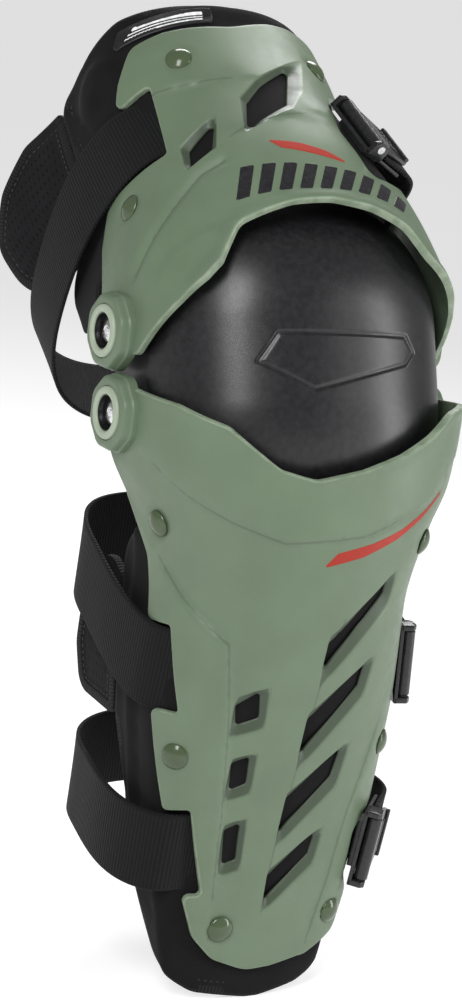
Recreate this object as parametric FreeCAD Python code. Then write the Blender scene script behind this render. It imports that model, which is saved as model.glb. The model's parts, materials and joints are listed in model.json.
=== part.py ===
import FreeCAD, Part
import math
import os
from FreeCAD import Vector

# Knee and shin guard with two pivots a side: a shin half, a thigh half and a knee cup between.
# Millimetres. +Z runs up the shin, -Y is the front of the leg and +X is to the right as seen from
# the front. The origin is midway between the two pivot lines, on the leg's centre line.

Vector2d = FreeCAD.Base.Vector2d

# ---- driving dimensions ----
LOWER_PIVOT = Vector(0, -6.5, -18)      # shin half turns on the knee cup here
UPPER_PIVOT = Vector(0, 6.5, 18)        # thigh half turns on the knee cup here
REST_FLEXION = 54                       # degrees between shin and thigh as drawn

SHELL = 3.0                             # moulded shell thickness
LINER = 3.5                             # neoprene liner thickness
PAD = 6.0                               # foam pad thickness
SEAT = 0.4                              # air between two layers

CUP_HALF_WIDTH = 77.0
CUP_RADIUS = 71.0
CUP_ROUNDNESS = 2.4                     # superellipse exponent of the cup's profile
CUP_LOW_EDGE = -54                      # degrees from straight ahead, about the lower pivot
CUP_HIGH_EDGE = 112                     # degrees from straight ahead, about the upper pivot

PIN_RADIUS = 4.0
RUNNING_FIT = 0.05                      # radial clearance of a bush on its pin
BOSS_FACE = 90.0                        # outer face of the pivot bosses
ARM_INNER = 79.3                        # outer face of the washers, just inside the arms
BOSS_ROOT = 80.6                        # where the bosses start, inside the arms' thickness
BOSS_RADIUS = 18.7
BOSS_FLATS = 17.9                       # half the distance across the boss's flats
CUP_FLAT = 76.1                         # outer face of the cup's flat sides at the pivots
EAR_INNER = CUP_FLAT - SHELL
EAR_RADIUS = 15.5
BUSH_RADIUS = 5.5
PIN_HEAD_RADIUS = 7.0
PIVOT_WASHER_RADIUS = 9.5
RECESS_FLOOR = 84.0                     # floor of the bosses' recess, under the badge
RING_SEAT = 85.0                        # step in the recess that the ring sits on
RING_INNER = 8.6
RING_OUTER = 12.5
RING_PROUD = 1.2                        # ring above the boss's face
BADGE_RADIUS = 6.4
BADGE_FACE = 87.4

STRAP_WIDTH = 40.0
STRAP_THICKNESS = 2.0
RIVET_RADIUS = 6.4
RIVET_DOME = 2.4
SHANK_RADIUS = 2.0
WASHER_RADIUS = 4.5
WASHER_THICKNESS = 0.8
WASHER_DROP = 0.8                       # flat washer's clearance inside the liner's curve

# Stations of the two halves' outer faces, each about its own pivot line:
# (height, half width, y of the widest point, y of the front, superellipse exponent, rear bulge)
SHIN_STATIONS = [
    (-300, 41, -38, -49, 2.2, 0),
    (-270, 46, -38, -50, 2.2, 0),
    (-240, 53, -37, -51, 2.2, 0),
    (-200, 60, -35, -54.5, 2.25, 0),
    (-160, 64, -30, -62, 2.3, 0),
    (-120, 66, -24, -70, 2.3, 0),
    (-80, 65, -14, -78, 2.3, 0),
    (-40, 74, -4, -80, 2.5, 0),
    (-22, 81.5, -1, -80, 2.6, 0),
    (0, 83, 0, -80, 2.7, 0),
    (24, 83, 0, -79, 2.8, 0),
]
THIGH_STATIONS = [
    (-30, 82.5, 0, -84, 2.4, 0),
    (0, 83, 0, -86, 2.35, 0),
    (20, 81.5, 0, -87.5, 2.32, 0),
    (36, 78, 0, -88, 2.3, 0),
    (60, 72, -2, -86, 2.25, 0),
    (90, 66, -6, -82, 2.2, 5),
    (120, 68, -12, -78, 2.25, 16),
    (165, 66, -20, -74, 2.3, 20),
]
BULGE_RUN = 80.0                        # distance behind the widest point where the bulge peaks

# Outlines in pattern space: arc length from the front centre line (minus is the wearer's right),
# height above the pivot line and corner radius.
SHIN_OUTLINE = [
    (-128, 14, 6), (-116, 14, 8), (-92, 14, 20), (-65, 9, 8), (-38, -8, 14), (-20, -12, 12),
    (4, -7, 20), (24, 0, 20), (42, 9, 14), (56, 18.5, 14), (74, 20, 14), (116, 14, 8), (128, 14, 6),
    (148, 8, 6), (148, -10, 8), (138, -24, 12), (126, -40, 14), (104, -58, 14), (92, -92, 4),
    (73, -93, 2), (65, -132, 2), (82, -134, 4), (72, -172, 10), (61, -184, 8), (49, -196, 8),
    (49, -220, 8), (55, -231, 8), (51, -250, 8), (31, -260, 6), (10, -264, 20), (-4, -265, 20),
    (-23, -258, 14), (-35, -246, 12), (-44, -224, 3), (-34, -224, 2), (-48, -179, 2),
    (-61, -181, 3), (-81, -133, 3), (-64, -132, 2), (-80, -92, 2), (-98, -94, 4),
    (-106, -64, 14), (-118, -50, 14), (-138, -24, 14), (-148, -10, 8), (-148, 8, 6),
]
THIGH_OUTLINE = [
    (-128, -21.5, 6), (-92, -20.5, 12), (-75, -18.5, 6), (-66, -15, 5), (-52, 1, 10), (-24, 6, 30),
    (-3, 7, 30), (18, 4, 20), (38, -2, 12), (48, -16, 10), (60, -18, 10), (92, -20.5, 12),
    (128, -21.5, 6), (149, -4, 18), (140, 28, 14), (113, 48, 20), (75, 40, 16), (45, 28, 6),
    (27, 26, 6), (22, 56, 10), (27, 78, 8), (36, 92, 8), (68, 110, 6), (74, 126, 8),
    (58, 142, 14), (30, 143, 20), (16, 141, 20), (-8, 134, 30), (-42, 136, 14), (-60, 135, 10),
    (-74, 120, 8), (-83, 107, 5), (-60, 108, 2), (-69, 63, 2), (-113, 70, 10), (-130, 52, 14),
    (-142, 24, 14), (-149, -4, 18),
]
# Through openings, as corner lists with one corner radius.
SHIN_LEFT_VENTS = [
    [(-37, -125), (-28, -118), (-25.5, -130), (-35, -134)],
    [(-32, -155), (-25, -152), (-23.5, -165), (-30, -168)],
    [(-27, -191), (-21, -188), (-19, -206), (-24.5, -208)],
]
SHIN_RIGHT_VENTS = [
    [(30, -60), (29, -67), (15, -83), (1.5, -104), (1.5, -91)],
    [(27, -103), (26.5, -115), (1, -149), (1, -131)],
    [(25.5, -149), (24, -164), (0.5, -192), (0.5, -174)],
    [(23, -195), (22, -206), (0.5, -228), (0.5, -216)],
]
THIGH_VENTS = [
    [(-62, 47), (-59, 57), (-43, 67), (-50, 52)],
    [(-28, 58), (-21, 76), (-9, 88), (9, 97), (-3, 72)],
]
VENT_CORNER = 0.8

SHIN_LINER_OUTLINE = [
    (-50, -32, 20), (50, -32, 20), (72, -48, 12), (88, -49, 6), (94, -41, 6), (108, -41, 10), (136, -70, 20),
    (118, -150, 30), (100, -190, 30), (82, -232, 20), (64, -262, 20), (30, -276, 20),
    (4, -281, 30), (-30, -276, 20), (-60, -261, 20), (-82, -229, 20), (-98, -185, 30),
    (-118, -150, 30), (-136, -70, 20), (-108, -41, 10), (-94, -41, 6), (-88, -49, 6), (-72, -48, 12),
]
SHIN_PAD_OUTLINE = [
    (-48, -42, 16), (48, -42, 16), (60, -70, 14), (52, -120, 20), (48, -180, 20), (34, -226, 14),
    (0, -232, 24), (-34, -226, 14), (-48, -180, 20), (-52, -120, 20), (-60, -70, 14),
]
CALF_WING_OUTLINE = [
    (-134.4, -84, 4), (-150, -76, 16), (-170, -92, 20), (-168, -128, 18), (-158, -150, 14),
    (-120, -152, 4),
]
THIGH_LINER_OUTLINE = [
    (-60, 22, 16), (60, 22, 16), (86, 44, 14), (148, 44, 10), (150, 28, 8), (170, 26, 14),
    (172, 66, 20), (126, 96, 14), (116, 150, 10), (66, 156, 20), (0, 153, 60), (-60, 158, 20),
    (-90, 152, 10), (-116, 150, 10), (-126, 96, 14), (-172, 66, 20), (-170, 26, 14),
    (-150, 28, 8), (-148, 44, 10), (-86, 44, 14),
]
THIGH_PAD_OUTLINE = [
    (-56, 40, 16), (56, 40, 16), (66, 62, 14), (60, 104, 14), (-60, 104, 14), (-66, 62, 14),
]
THIGH_WING_OUTLINE = [
    (-117.5, 148, 3), (-146, 150, 14), (-172, 140, 20), (-194, 122, 18), (-198, 100, 16),
    (-186, 82, 14), (-160, 80, 14), (-127, 97, 3),
]
LABEL_OUTLINE = [(-70, 140, 2), (-62, 150, 2), (-12, 148.5, 2), (-14, 139.5, 2)]

SHIN_RIVETS = [(-98, -46), (60, -46), (-61, -153), (61, -151), (-21, -242), (43.5, -239)]
THIGH_RIVETS = [(-41, 116), (39, 115), (-100, 52)]

# Straps: pattern positions along the face at the slot end and the middle of the strap's rise above
# the face there, the buckle's pin, the distance from the pin to where the buckle is tangent to the
# face ("contact"), more positions on the face beside it, then half width, back and
# height of the loop behind the leg, about the half's own pivot line.
CALF_STRAP = {
    "slot": [(-84, -113.8), (-91, -113.4), (-99, -112)], "rise": [-1.0, 1.2, 2.4],
    "buckle": (76, -113), "contact": 2.0, "buckle_side": [],
    "half_width": 68, "back": 82, "back_height": -79, "squareness": 3.8}
ANKLE_STRAP = {
    "slot": [(-50, -202), (-57, -202), (-64, -202)], "rise": [-1.0, 1.2, 2.4],
    "buckle": (54, -205), "contact": 5.0, "buckle_side": [],
    "half_width": 66, "back": 75, "back_height": -192, "squareness": 2.6}
THIGH_STRAP = {
    "slot": [(-73, 86.8), (-82, 86.8), (-96, 87)], "rise": [-0.6, 2.4, 4.4],
    "buckle": (31, 58), "contact": 8.0, "buckle_side": [(80, 62), (98, 65)],
    "half_width": 79, "back": 112, "back_height": 60, "squareness": 3.2}
STRAP_ON_BUCKLE = 4.2                   # strap's middle above the face on a buckle
STRAP_END = 7.5                         # strap's end past the buckle's pin

BUCKLE_LENGTH = 27.0
BUCKLE_HEEL = -5.0                      # base's edge behind the pin
BUCKLE_STANDOFF = 0.5                   # floor's underside above the face
BUCKLE_FLOOR = 2.0
BUCKLE_EAR = 3.0
BUCKLE_EAR_LENGTH = 10.0
BUCKLE_FOOT_INSET = 8.0                 # foot's ends inside the base's ends
BUCKLE_HEIGHT = 8.5
BUCKLE_PIN_RADIUS = 2.0
BUCKLE_MIDDLE = 12.0                    # from the pin to the middle of the buckle
PIN_HEIGHT = 6.0
LEVER_LENGTH = 28.0
LEVER_THICKNESS = 2.6
LEVER_HUB_RADIUS = 3.4
LEVER_UNDERSIDE = 5.6
LEVER_SIDE_GAP = 0.4
LEVER_TAPER = 4.0                       # narrower by this on each side at the tip
LEVER_LIP = 2.5
LEVER_LIP_RISE = 1.6

LABEL_LIFT = 0.2
LABEL_THICKNESS = 1.0
RIVET_LIFT = 0.2                        # flat underside above the curved face
SHEET_STEP = 7.0                        # spacing of the spline knots of the sheets
NORMAL_STEP = 3.0                       # reach over which a face's direction is measured


# ---- pattern space ----
def hermite(stations, height, column):
    """Smooth curve through one column of a station table, read at a height."""
    last = len(stations) - 2
    index = 0
    while index < last and height > stations[index + 1][0]:
        index += 1
    heights = [station[0] for station in stations]
    values = [station[column] for station in stations]
    slopes = [(values[i + 1] - values[i]) / (heights[i + 1] - heights[i]) for i in range(len(values) - 1)]
    tangents = [slopes[0]]
    for before, after in zip(slopes, slopes[1:]):
        tangents.append(0.0 if before * after <= 0 else (before + after) / 2)
    tangents.append(slopes[-1])
    span = heights[index + 1] - heights[index]
    t = min(1.0, max(0.0, (height - heights[index]) / span))
    return ((2 * t**3 - 3 * t**2 + 1) * values[index]
            + (t**3 - 2 * t**2 + t) * span * tangents[index]
            + (3 * t**2 - 2 * t**3) * values[index + 1]
            + (t**3 - t**2) * span * tangents[index + 1])


class Half:
    """One half's outer face, found from arc length round the leg and height above the pivot line."""

    QUARTER_STEPS = 120
    REAR_RUN = 110
    REAR_STEP = 2.0

    def __init__(self, stations, pivot, flexion):
        self.stations = stations
        self.pivot = pivot
        self.turn = FreeCAD.Rotation(Vector(1, 0, 0), -flexion)
        self.sections = {}

    def section(self, height):
        """Points of the section on the +X side, with their arc lengths."""
        key = round(height, 3)
        if key in self.sections:
            return self.sections[key]
        half_width, y_wide, y_front, exponent, bulge = [
            hermite(self.stations, height, column) for column in range(1, 6)]
        points = []
        for step in range(self.QUARTER_STEPS + 1):
            angle = math.pi / 2 * step / self.QUARTER_STEPS
            x = half_width * math.sin(angle) ** (2 / exponent)
            y = y_wide - (y_wide - y_front) * max(0.0, math.cos(angle)) ** (2 / exponent)
            points.append((x, y))
        for step in range(1, int(self.REAR_RUN / self.REAR_STEP) + 1):
            run = step * self.REAR_STEP
            x = half_width + bulge * (1 - math.cos(math.pi * run / BULGE_RUN)) / 2
            points.append((x, y_wide + run))
        lengths = [0.0]
        for before, after in zip(points, points[1:]):
            lengths.append(lengths[-1] + math.dist(before, after))
        self.sections[key] = (points, lengths)
        return self.sections[key]

    def plan(self, arc, height):
        """(x, y) on the outer face."""
        points, lengths = self.section(height)
        side = -1 if arc < 0 else 1
        arc = min(abs(arc), lengths[-1] - 0.001)
        index = next(i for i in range(len(lengths) - 1) if lengths[i + 1] > arc)
        t = (arc - lengths[index]) / (lengths[index + 1] - lengths[index])
        x = points[index][0] + t * (points[index + 1][0] - points[index][0])
        y = points[index][1] + t * (points[index + 1][1] - points[index][1])
        return side * x, y

    def local(self, arc, height):
        x, y = self.plan(arc, height)
        return Vector(x, y, height)

    def normal(self, arc, height):
        """Outward normal in the half's own frame."""
        along = self.local(arc + NORMAL_STEP, height) - self.local(arc - NORMAL_STEP, height)
        up = self.local(arc, height + NORMAL_STEP) - self.local(arc, height - NORMAL_STEP)
        return along.cross(up).normalize()

    def to_row(self, point):
        return self.turn.multVec(point) + self.pivot

    def at(self, arc, height, offset=0.0):
        """Point at an offset outside the outer face, in the part's frame."""
        return self.to_row(self.local(arc, height) + self.normal(arc, height) * offset)

    def placement(self, arc, height, offset=0.0):
        """Frame on the face: x round the leg, y up it and z outwards."""
        outward = self.turn.multVec(self.normal(arc, height))
        chord = self.local(arc + NORMAL_STEP, height) - self.local(arc - NORMAL_STEP, height)
        along = self.turn.multVec(chord)
        up = outward.cross(along).normalize()
        along = up.cross(outward)
        rotation = FreeCAD.Rotation(along, up, outward, "ZXY")
        return FreeCAD.Placement(self.at(arc, height, offset), rotation)


class Band:
    """A strap's middle surface, found from length along the strap and height across it."""

    LOOP_POINTS = 9
    SIDE_Y = 8.0
    LEVEL_RUN = 60.0                    # length over which the strap turns level behind the leg

    def __init__(self, half, strap):
        self.half = half
        self.first_up = self.up_the_face(strap["slot"][0])
        self.contact = strap["contact"]
        self.contact_spot = (strap["buckle"][0] + self.contact, strap["buckle"][1])
        self.last_up = self.up_the_face(self.contact_spot)
        route = [self.seat(point, rise) for point, rise in zip(strap["slot"], strap["rise"])]
        first = route[0]
        runs = (BUCKLE_LENGTH + 3, BUCKLE_MIDDLE + 4, STRAP_END)
        buckle = [self.on_buckle(run) for run in runs]
        side = [self.seat(point, STRAP_ON_BUCKLE) for point in strap["buckle_side"]]
        for index in range(self.LOOP_POINTS):
            angle = math.pi * (index + 0.5) / self.LOOP_POINTS
            across = abs(math.cos(angle)) ** (2 / strap["squareness"])
            depth = math.sin(angle) ** (2 / strap["squareness"])
            x = -math.copysign(strap["half_width"] * across, math.cos(angle))
            y = self.SIDE_Y + (strap["back"] - self.SIDE_Y) * depth
            start = first if angle < math.pi / 2 else buckle[-1]
            share = (y - start.y) / (strap["back"] - start.y)
            height = start.z + (strap["back_height"] - start.z) * share
            route.append(Vector(x, y, height))
        route += side[::-1] + buckle
        self.curve = Part.BSplineCurve()
        self.curve.interpolate(route)
        self.length = self.curve.length()

    def seat(self, pattern_point, lift):
        arc, height = pattern_point
        return self.half.local(arc, height) + self.half.normal(arc, height) * lift

    def up_the_face(self, pattern_point):
        arc, height = pattern_point
        above = self.half.local(arc, height + NORMAL_STEP)
        return (above - self.half.local(arc, height - NORMAL_STEP)).normalize()

    def on_buckle(self, run):
        """Point a run past the hinge pin, in the plane of the buckle."""
        along = self.last_up.cross(self.half.normal(*self.contact_spot)).normalize()
        return self.seat(self.contact_spot, STRAP_ON_BUCKLE) + along * (run - self.contact)

    def up(self, run):
        """Direction across the strap: up the face at both ends, level behind the leg."""
        ends = ((run, 0.0, self.first_up), (self.length - run, BUCKLE_LENGTH, self.last_up))
        for distance, flat_run, lean in ends:
            share = (distance - flat_run) / self.LEVEL_RUN
            if share < 1:
                share = max(0.0, share)
                return (lean * (1 - share) + Vector(0, 0, 1) * share).normalize()
        return Vector(0, 0, 1)

    def at(self, arc, height, offset=0.0):
        run = min(max(arc, 0.0), self.length)
        parameter = self.curve.parameterAtDistance(run, self.curve.FirstParameter)
        along = self.curve.tangent(parameter)[0]
        up = self.up(run)
        outward = up.cross(along).normalize()
        return self.half.to_row(self.curve.value(parameter) + up * height + outward * offset)


# ---- sheets: trimmed spline faces at two offsets, joined round their edges ----
def spline_knots(low, high):
    """Knots and clamped cubic Greville points of an even knot row from low to high."""
    count = max(4, int(round((high - low) / SHEET_STEP)))
    knots = [low + (high - low) * i / count for i in range(count + 1)]
    padded = [low] * 3 + knots + [high] * 3
    greville = [sum(padded[i + 1:i + 4]) / 3 for i in range(len(padded) - 4)]
    return knots, greville


def spline_face(sheet, outline, offset):
    """Cubic spline surface over an outline's box, whose parameters are pattern coordinates."""
    arcs = [point[0] for point in outline]
    heights = [point[1] for point in outline]
    margin = 3.0
    arc_knots, arc_points = spline_knots(min(arcs) - margin, max(arcs) + margin)
    height_knots, height_points = spline_knots(min(heights) - margin, max(heights) + margin)
    poles = [[sheet.at(arc, height, offset) for height in height_points] for arc in arc_points]
    surface = Part.BSplineSurface()
    surface.buildFromPolesMultsKnots(
        poles, [4] + [1] * (len(arc_knots) - 2) + [4], [4] + [1] * (len(height_knots) - 2) + [4],
        arc_knots, height_knots, False, False, 3, 3)
    return surface


def rounded_loop(outline):
    """2-D lines and arcs of a closed outline of (arc, height, corner radius)."""
    corners = []
    count = len(outline)
    for index in range(count):
        point = Vector(outline[index][0], outline[index][1], 0)
        before = (Vector(*outline[index - 1][:2], 0) - point)
        after = (Vector(*outline[(index + 1) % count][:2], 0) - point)
        room = 0.45 * min(before.Length, after.Length)
        before.normalize()
        after.normalize()
        half_angle = before.getAngle(after) / 2
        cut = min(outline[index][2] / math.tan(half_angle), room) if half_angle < 1.5 else 0.0
        if cut < 0.05:
            corners.append((point, None, point))
            continue
        radius = cut * math.tan(half_angle)
        bisector = (before + after).normalize()
        middle = point + bisector * (radius / math.sin(half_angle) - radius)
        corners.append((point + before * cut, middle, point + after * cut))
    pieces = []
    for index in range(count):
        start, middle, end = [v and Vector2d(v.x, v.y) for v in corners[index]]
        following = corners[(index + 1) % count][0]
        if middle:
            pieces.append(Part.Geom2d.ArcOfCircle2d(start, middle, end))
        pieces.append(Part.Geom2d.Line2dSegment(end, Vector2d(following.x, following.y)))
    return pieces


def trimmed_sheet(sheet, outline, outer, inner, openings=()):
    """Solid between two offsets of a sheet, inside an outline and outside its openings."""
    loops = [rounded_loop(loop) for loop in [outline] + list(openings)]
    faces = []
    edge_rows = []
    for offset in (outer, inner):
        surface = spline_face(sheet, outline, offset)
        edges = [[piece.toShape(surface) for piece in loop] for loop in loops]
        face = Part.Face(surface, Part.Wire(edges[0]))
        face.validate()
        if len(loops) > 1:
            face.cutHoles([Part.Wire(loop) for loop in edges[1:]])
            face.validate()
        faces.append(face)
        edge_rows.append([edge for loop in edges for edge in loop])
    same_way = 1
    walls = [Part.makeRuledSurface(top, bottom, same_way) for top, bottom in zip(*edge_rows)]
    skin = Part.Compound(faces + walls)
    skin.sewShape(0.01)
    solid = Part.Solid(skin.Shells[0] if skin.Shells else Part.Shell(faces + walls))
    if solid.Volume < 0:
        solid.reverse()
    return solid


def opening(points, radius=VENT_CORNER):
    return [(arc, height, radius) for arc, height in points]


def rivet_holes(spots):
    """Round clearance holes, as squares with their corners rounded right off."""
    half_side = SHANK_RADIUS + 0.6
    corners = [(-1, -1), (1, -1), (1, 1), (-1, 1)]
    return [[(arc + x * half_side, height + y * half_side, half_side) for x, y in corners]
            for arc, height in spots]


def mirrored(outline):
    return [(-arc, height, radius) for arc, height, radius in reversed(outline)]


# ---- round parts on the pivot lines ----
def turned(profile, pivot, side):
    """Solid of revolution about a pivot line from (distance out, radius) points."""
    points = [pivot + Vector(side * out, 0, radius) for out, radius in profile]
    face = Part.Face(Part.makePolygon(points + points[:1]))
    return face.revolve(pivot, Vector(1, 0, 0), 360)


def both_sides(make, pivot):
    return Part.Compound([make(pivot, side) for side in (-1, 1)])


def pivot_pin(pivot, side):
    """Pin with a head inside the cup's ear and one on the recess floor."""
    inner_head = EAR_INNER - 0.1
    head = 1.6
    return turned([(inner_head - head, 0), (inner_head - head, PIN_HEAD_RADIUS),
                   (inner_head, PIN_HEAD_RADIUS), (inner_head, PIN_RADIUS),
                   (RECESS_FLOOR, PIN_RADIUS), (RECESS_FLOOR, PIN_HEAD_RADIUS),
                   (RECESS_FLOOR + head, PIN_HEAD_RADIUS), (RECESS_FLOOR + head, 0)], pivot, side)


def pivot_washer(pivot, side):
    bore = PIN_RADIUS + RUNNING_FIT
    inner = CUP_FLAT + 0.2
    return turned([(inner, bore), (inner, PIVOT_WASHER_RADIUS), (ARM_INNER, PIVOT_WASHER_RADIUS),
                   (ARM_INNER, bore)], pivot, side)


def pivot_bush(pivot, side):
    bore = PIN_RADIUS + RUNNING_FIT
    return turned([(EAR_INNER, bore), (EAR_INNER, BUSH_RADIUS), (CUP_FLAT, BUSH_RADIUS),
                   (CUP_FLAT, bore)], pivot, side)


def pivot_ring(pivot, side):
    top = BOSS_FACE + RING_PROUD
    bevel = 0.8
    return turned([(RING_SEAT, RING_INNER), (top - bevel, RING_INNER), (top, RING_INNER + bevel),
                   (top, RING_OUTER - bevel), (BOSS_FACE, RING_OUTER), (RING_SEAT, RING_OUTER)], pivot, side)


def pivot_badge(pivot, side):
    """Plain disc on the pin's outer head."""
    seat = RECESS_FLOOR + 1.6
    bevel = 1.0
    return turned([(seat, 0), (seat, BADGE_RADIUS), (BADGE_FACE - bevel, BADGE_RADIUS),
                   (BADGE_FACE, BADGE_RADIUS - bevel), (BADGE_FACE, 0)], pivot, side)


def boss(half, side):
    """Octagonal boss on an arm, its corners and its rim rounded off by a turned blank."""
    blank = turned([(BOSS_ROOT, 0), (BOSS_ROOT, BOSS_RADIUS), (BOSS_FACE - 2.2, BOSS_RADIUS),
                    (BOSS_FACE - 0.6, BOSS_RADIUS - 0.8), (BOSS_FACE, BOSS_RADIUS - 2.6), (BOSS_FACE, 0)],
                   half.pivot, side)
    corner = BOSS_FLATS / math.cos(math.pi / 8)
    points = []
    for index in range(8):
        angle = math.pi / 4 * (index + 0.5)
        spoke = Vector(side * BOSS_ROOT, corner * math.cos(angle), corner * math.sin(angle))
        points.append(half.pivot + spoke)
    octagon = Part.Face(Part.makePolygon(points + points[:1]))
    prism = octagon.extrude(Vector(side * (BOSS_FACE + 1 - BOSS_ROOT), 0, 0))
    return blank.common(prism)


def boss_recess(pivot, side):
    """Bore for the pin, floor for its head and the badge, and the ring's seat."""
    return turned([(ARM_INNER - 5, 0), (ARM_INNER - 5, PIN_RADIUS), (RECESS_FLOOR, PIN_RADIUS),
                   (RECESS_FLOOR, RING_INNER), (RING_SEAT, RING_INNER), (RING_SEAT, RING_OUTER),
                   (BOSS_FACE + 2, RING_OUTER), (BOSS_FACE + 2, 0)], pivot, side)


def guard_shell(half, outline, openings):
    """Moulded shell with its two pivot bosses."""
    shell = trimmed_sheet(half, outline, 0.0, -SHELL, openings)
    for side in (-1, 1):
        shell = shell.fuse(boss(half, side))
    for side in (-1, 1):
        shell = shell.cut(boss_recess(half.pivot, side))
    return shell


# ---- knee cup ----
def cup_profile(inset, start):
    """Spline across the cup between its two flat sides, and the two flats down to the pivot line."""
    half_width = CUP_HALF_WIDTH - inset
    radius = CUP_RADIUS - inset
    flat = CUP_FLAT - inset
    last = math.asin((flat / half_width) ** (CUP_ROUNDNESS / 2))
    steps = 16
    points = []
    for index in range(-steps, steps + 1):
        angle = last * index / steps
        x = math.copysign(half_width * abs(math.sin(angle)) ** (2 / CUP_ROUNDNESS), angle)
        reach = radius * math.cos(angle) ** (2 / CUP_ROUNDNESS)
        points.append(LOWER_PIVOT + Vector(x, 0, 0) + start * reach)
    curve = Part.BSplineCurve()
    curve.interpolate(points)
    feet = [LOWER_PIVOT + Vector(side * flat, 0, 0) for side in (-1, 1)]
    return [Part.makeLine(feet[0], points[0]), curve.toShape(), Part.makeLine(points[-1], feet[1])], feet


def swept_cup(outer, inner, low_edge, high_edge):
    """Part of a ring: turned about the lower pivot, drawn straight, turned about the upper pivot."""
    rise = UPPER_PIVOT - LOWER_PIVOT
    lean = math.degrees(math.atan2(rise.y, rise.z))
    start = Vector(0, -math.cos(math.radians(low_edge)), math.sin(math.radians(low_edge)))
    outside, outside_feet = cup_profile(outer, start)
    inside, inside_feet = cup_profile(inner, start)
    ends = [Part.makeLine(*pair) for pair in zip(outside_feet, inside_feet)]
    face = Part.Face(Part.Wire(Part.__sortEdges__(outside + inside + ends)))
    lower = face.revolve(LOWER_PIVOT, Vector(-1, 0, 0), lean - low_edge)
    face.rotate(LOWER_PIVOT, Vector(-1, 0, 0), lean - low_edge)
    middle = face.extrude(rise)
    face.translate(rise)
    upper = face.revolve(UPPER_PIVOT, Vector(-1, 0, 0), high_edge - lean)
    return lower.fuse([middle, upper])


def ear_plate(side):
    """Plate round both pivots on one side, in line with the cup's flat."""
    rise = UPPER_PIVOT - LOWER_PIVOT
    across = Vector(0, rise.z, -rise.y).normalize() * EAR_RADIUS
    beyond = Vector(rise).normalize() * EAR_RADIUS
    lower = LOWER_PIVOT + Vector(side * EAR_INNER, 0, 0)
    upper = UPPER_PIVOT + Vector(side * EAR_INNER, 0, 0)
    edges = [Part.Arc(lower + across, lower - beyond, lower - across).toShape(),
             Part.makeLine(lower - across, upper - across),
             Part.Arc(upper - across, upper + beyond, upper + across).toShape(),
             Part.makeLine(upper + across, lower + across)]
    return Part.Face(Part.Wire(edges)).extrude(Vector(side * SHELL, 0, 0))


def knee_cup():
    """Hard cup with an ear plate round both pivots on each side, bored for the bushes."""
    cup = swept_cup(0.0, SHELL, CUP_LOW_EDGE, CUP_HIGH_EDGE)
    cup = cup.fuse([ear_plate(-1), ear_plate(1)])
    for side in (-1, 1):
        for pivot in (LOWER_PIVOT, UPPER_PIVOT):
            start = pivot + Vector(side * (EAR_INNER - 5), 0, 0)
            cup = cup.cut(Part.makeCylinder(BUSH_RADIUS, 20, start, Vector(side, 0, 0)))
    return cup


def knee_pad():
    """Foam pad behind the cup, clear of the pins' inner heads."""
    pad_back = SHELL + SEAT + PAD
    pad = swept_cup(SHELL + SEAT, pad_back, CUP_LOW_EDGE + 6, CUP_HIGH_EDGE - 6)
    side_room = 60.0
    keep = Part.makeBox(2 * side_room, 400, 400, Vector(-side_room, -200, -200))
    return pad.common(keep)


# ---- fasteners ----
def on_face(half, spots, offset, shape):
    """Copies of a shape standing on the half's face at pattern positions."""
    copies = []
    for arc, height in spots:
        copy = shape.copy()
        copy.Placement = half.placement(arc, height, offset)
        copies.append(copy)
    return Part.Compound(copies)


def rivet():
    """Domed head standing just off a curved face, with its shank down through the layers."""
    sphere_radius = (RIVET_RADIUS**2 + RIVET_DOME**2) / (2 * RIVET_DOME)
    shank = SHELL + SEAT + LINER + WASHER_DROP + WASHER_THICKNESS
    half_angle = math.asin(RIVET_RADIUS / sphere_radius) / 2
    dome_top = Vector(0, 0, RIVET_DOME)
    dome_middle = Vector(sphere_radius * math.sin(half_angle), 0,
                         RIVET_DOME - sphere_radius * (1 - math.cos(half_angle)))
    rim = Vector(RIVET_RADIUS, 0, 0)
    underside = Vector(0, 0, -0.1)
    corners = [rim, rim + underside, Vector(SHANK_RADIUS, 0, 0) + underside,
               Vector(SHANK_RADIUS, 0, -shank), Vector(0, 0, -shank), dome_top]
    edges = [Part.Arc(dome_top, dome_middle, rim).toShape()] + Part.makePolygon(corners).Edges
    return Part.Face(Part.Wire(edges)).revolve(Vector(0, 0, 0), Vector(0, 0, 1), 360)


def rivet_washer():
    ring = Part.makeCylinder(WASHER_RADIUS, WASHER_THICKNESS)
    return ring.cut(Part.makeCylinder(SHANK_RADIUS, WASHER_THICKNESS))


# ---- buckles: x round the leg towards the strap, y across the strap, z outwards ----
def cross_rod(radius, length):
    """Rod along the hinge line, centred on the buckle."""
    return Part.makeCylinder(radius, length, Vector(0, -length / 2, PIN_HEIGHT), Vector(0, 1, 0))


def buckle_base():
    """Floor, two ears with the pin's bore, and the foot that stands in the shell's notch."""
    half_width = STRAP_WIDTH / 2
    foot_half_width = half_width - BUCKLE_FOOT_INSET
    floor = Part.makeBox(BUCKLE_LENGTH, STRAP_WIDTH, BUCKLE_FLOOR,
                         Vector(BUCKLE_HEEL, -half_width, BUCKLE_STANDOFF))
    foot = Part.makeBox(BUCKLE_MIDDLE, 2 * foot_half_width, SHELL,
                        Vector(0, -foot_half_width, BUCKLE_STANDOFF - SHELL))
    ears = [Part.makeBox(BUCKLE_EAR_LENGTH, BUCKLE_EAR, BUCKLE_HEIGHT,
                         Vector(BUCKLE_HEEL, low_side, BUCKLE_STANDOFF))
            for low_side in (-half_width, half_width - BUCKLE_EAR)]
    return floor.fuse([foot] + ears).cut(cross_rod(BUCKLE_PIN_RADIUS, 2 * STRAP_WIDTH))


def buckle_pin():
    return cross_rod(BUCKLE_PIN_RADIUS, STRAP_WIDTH)


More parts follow.
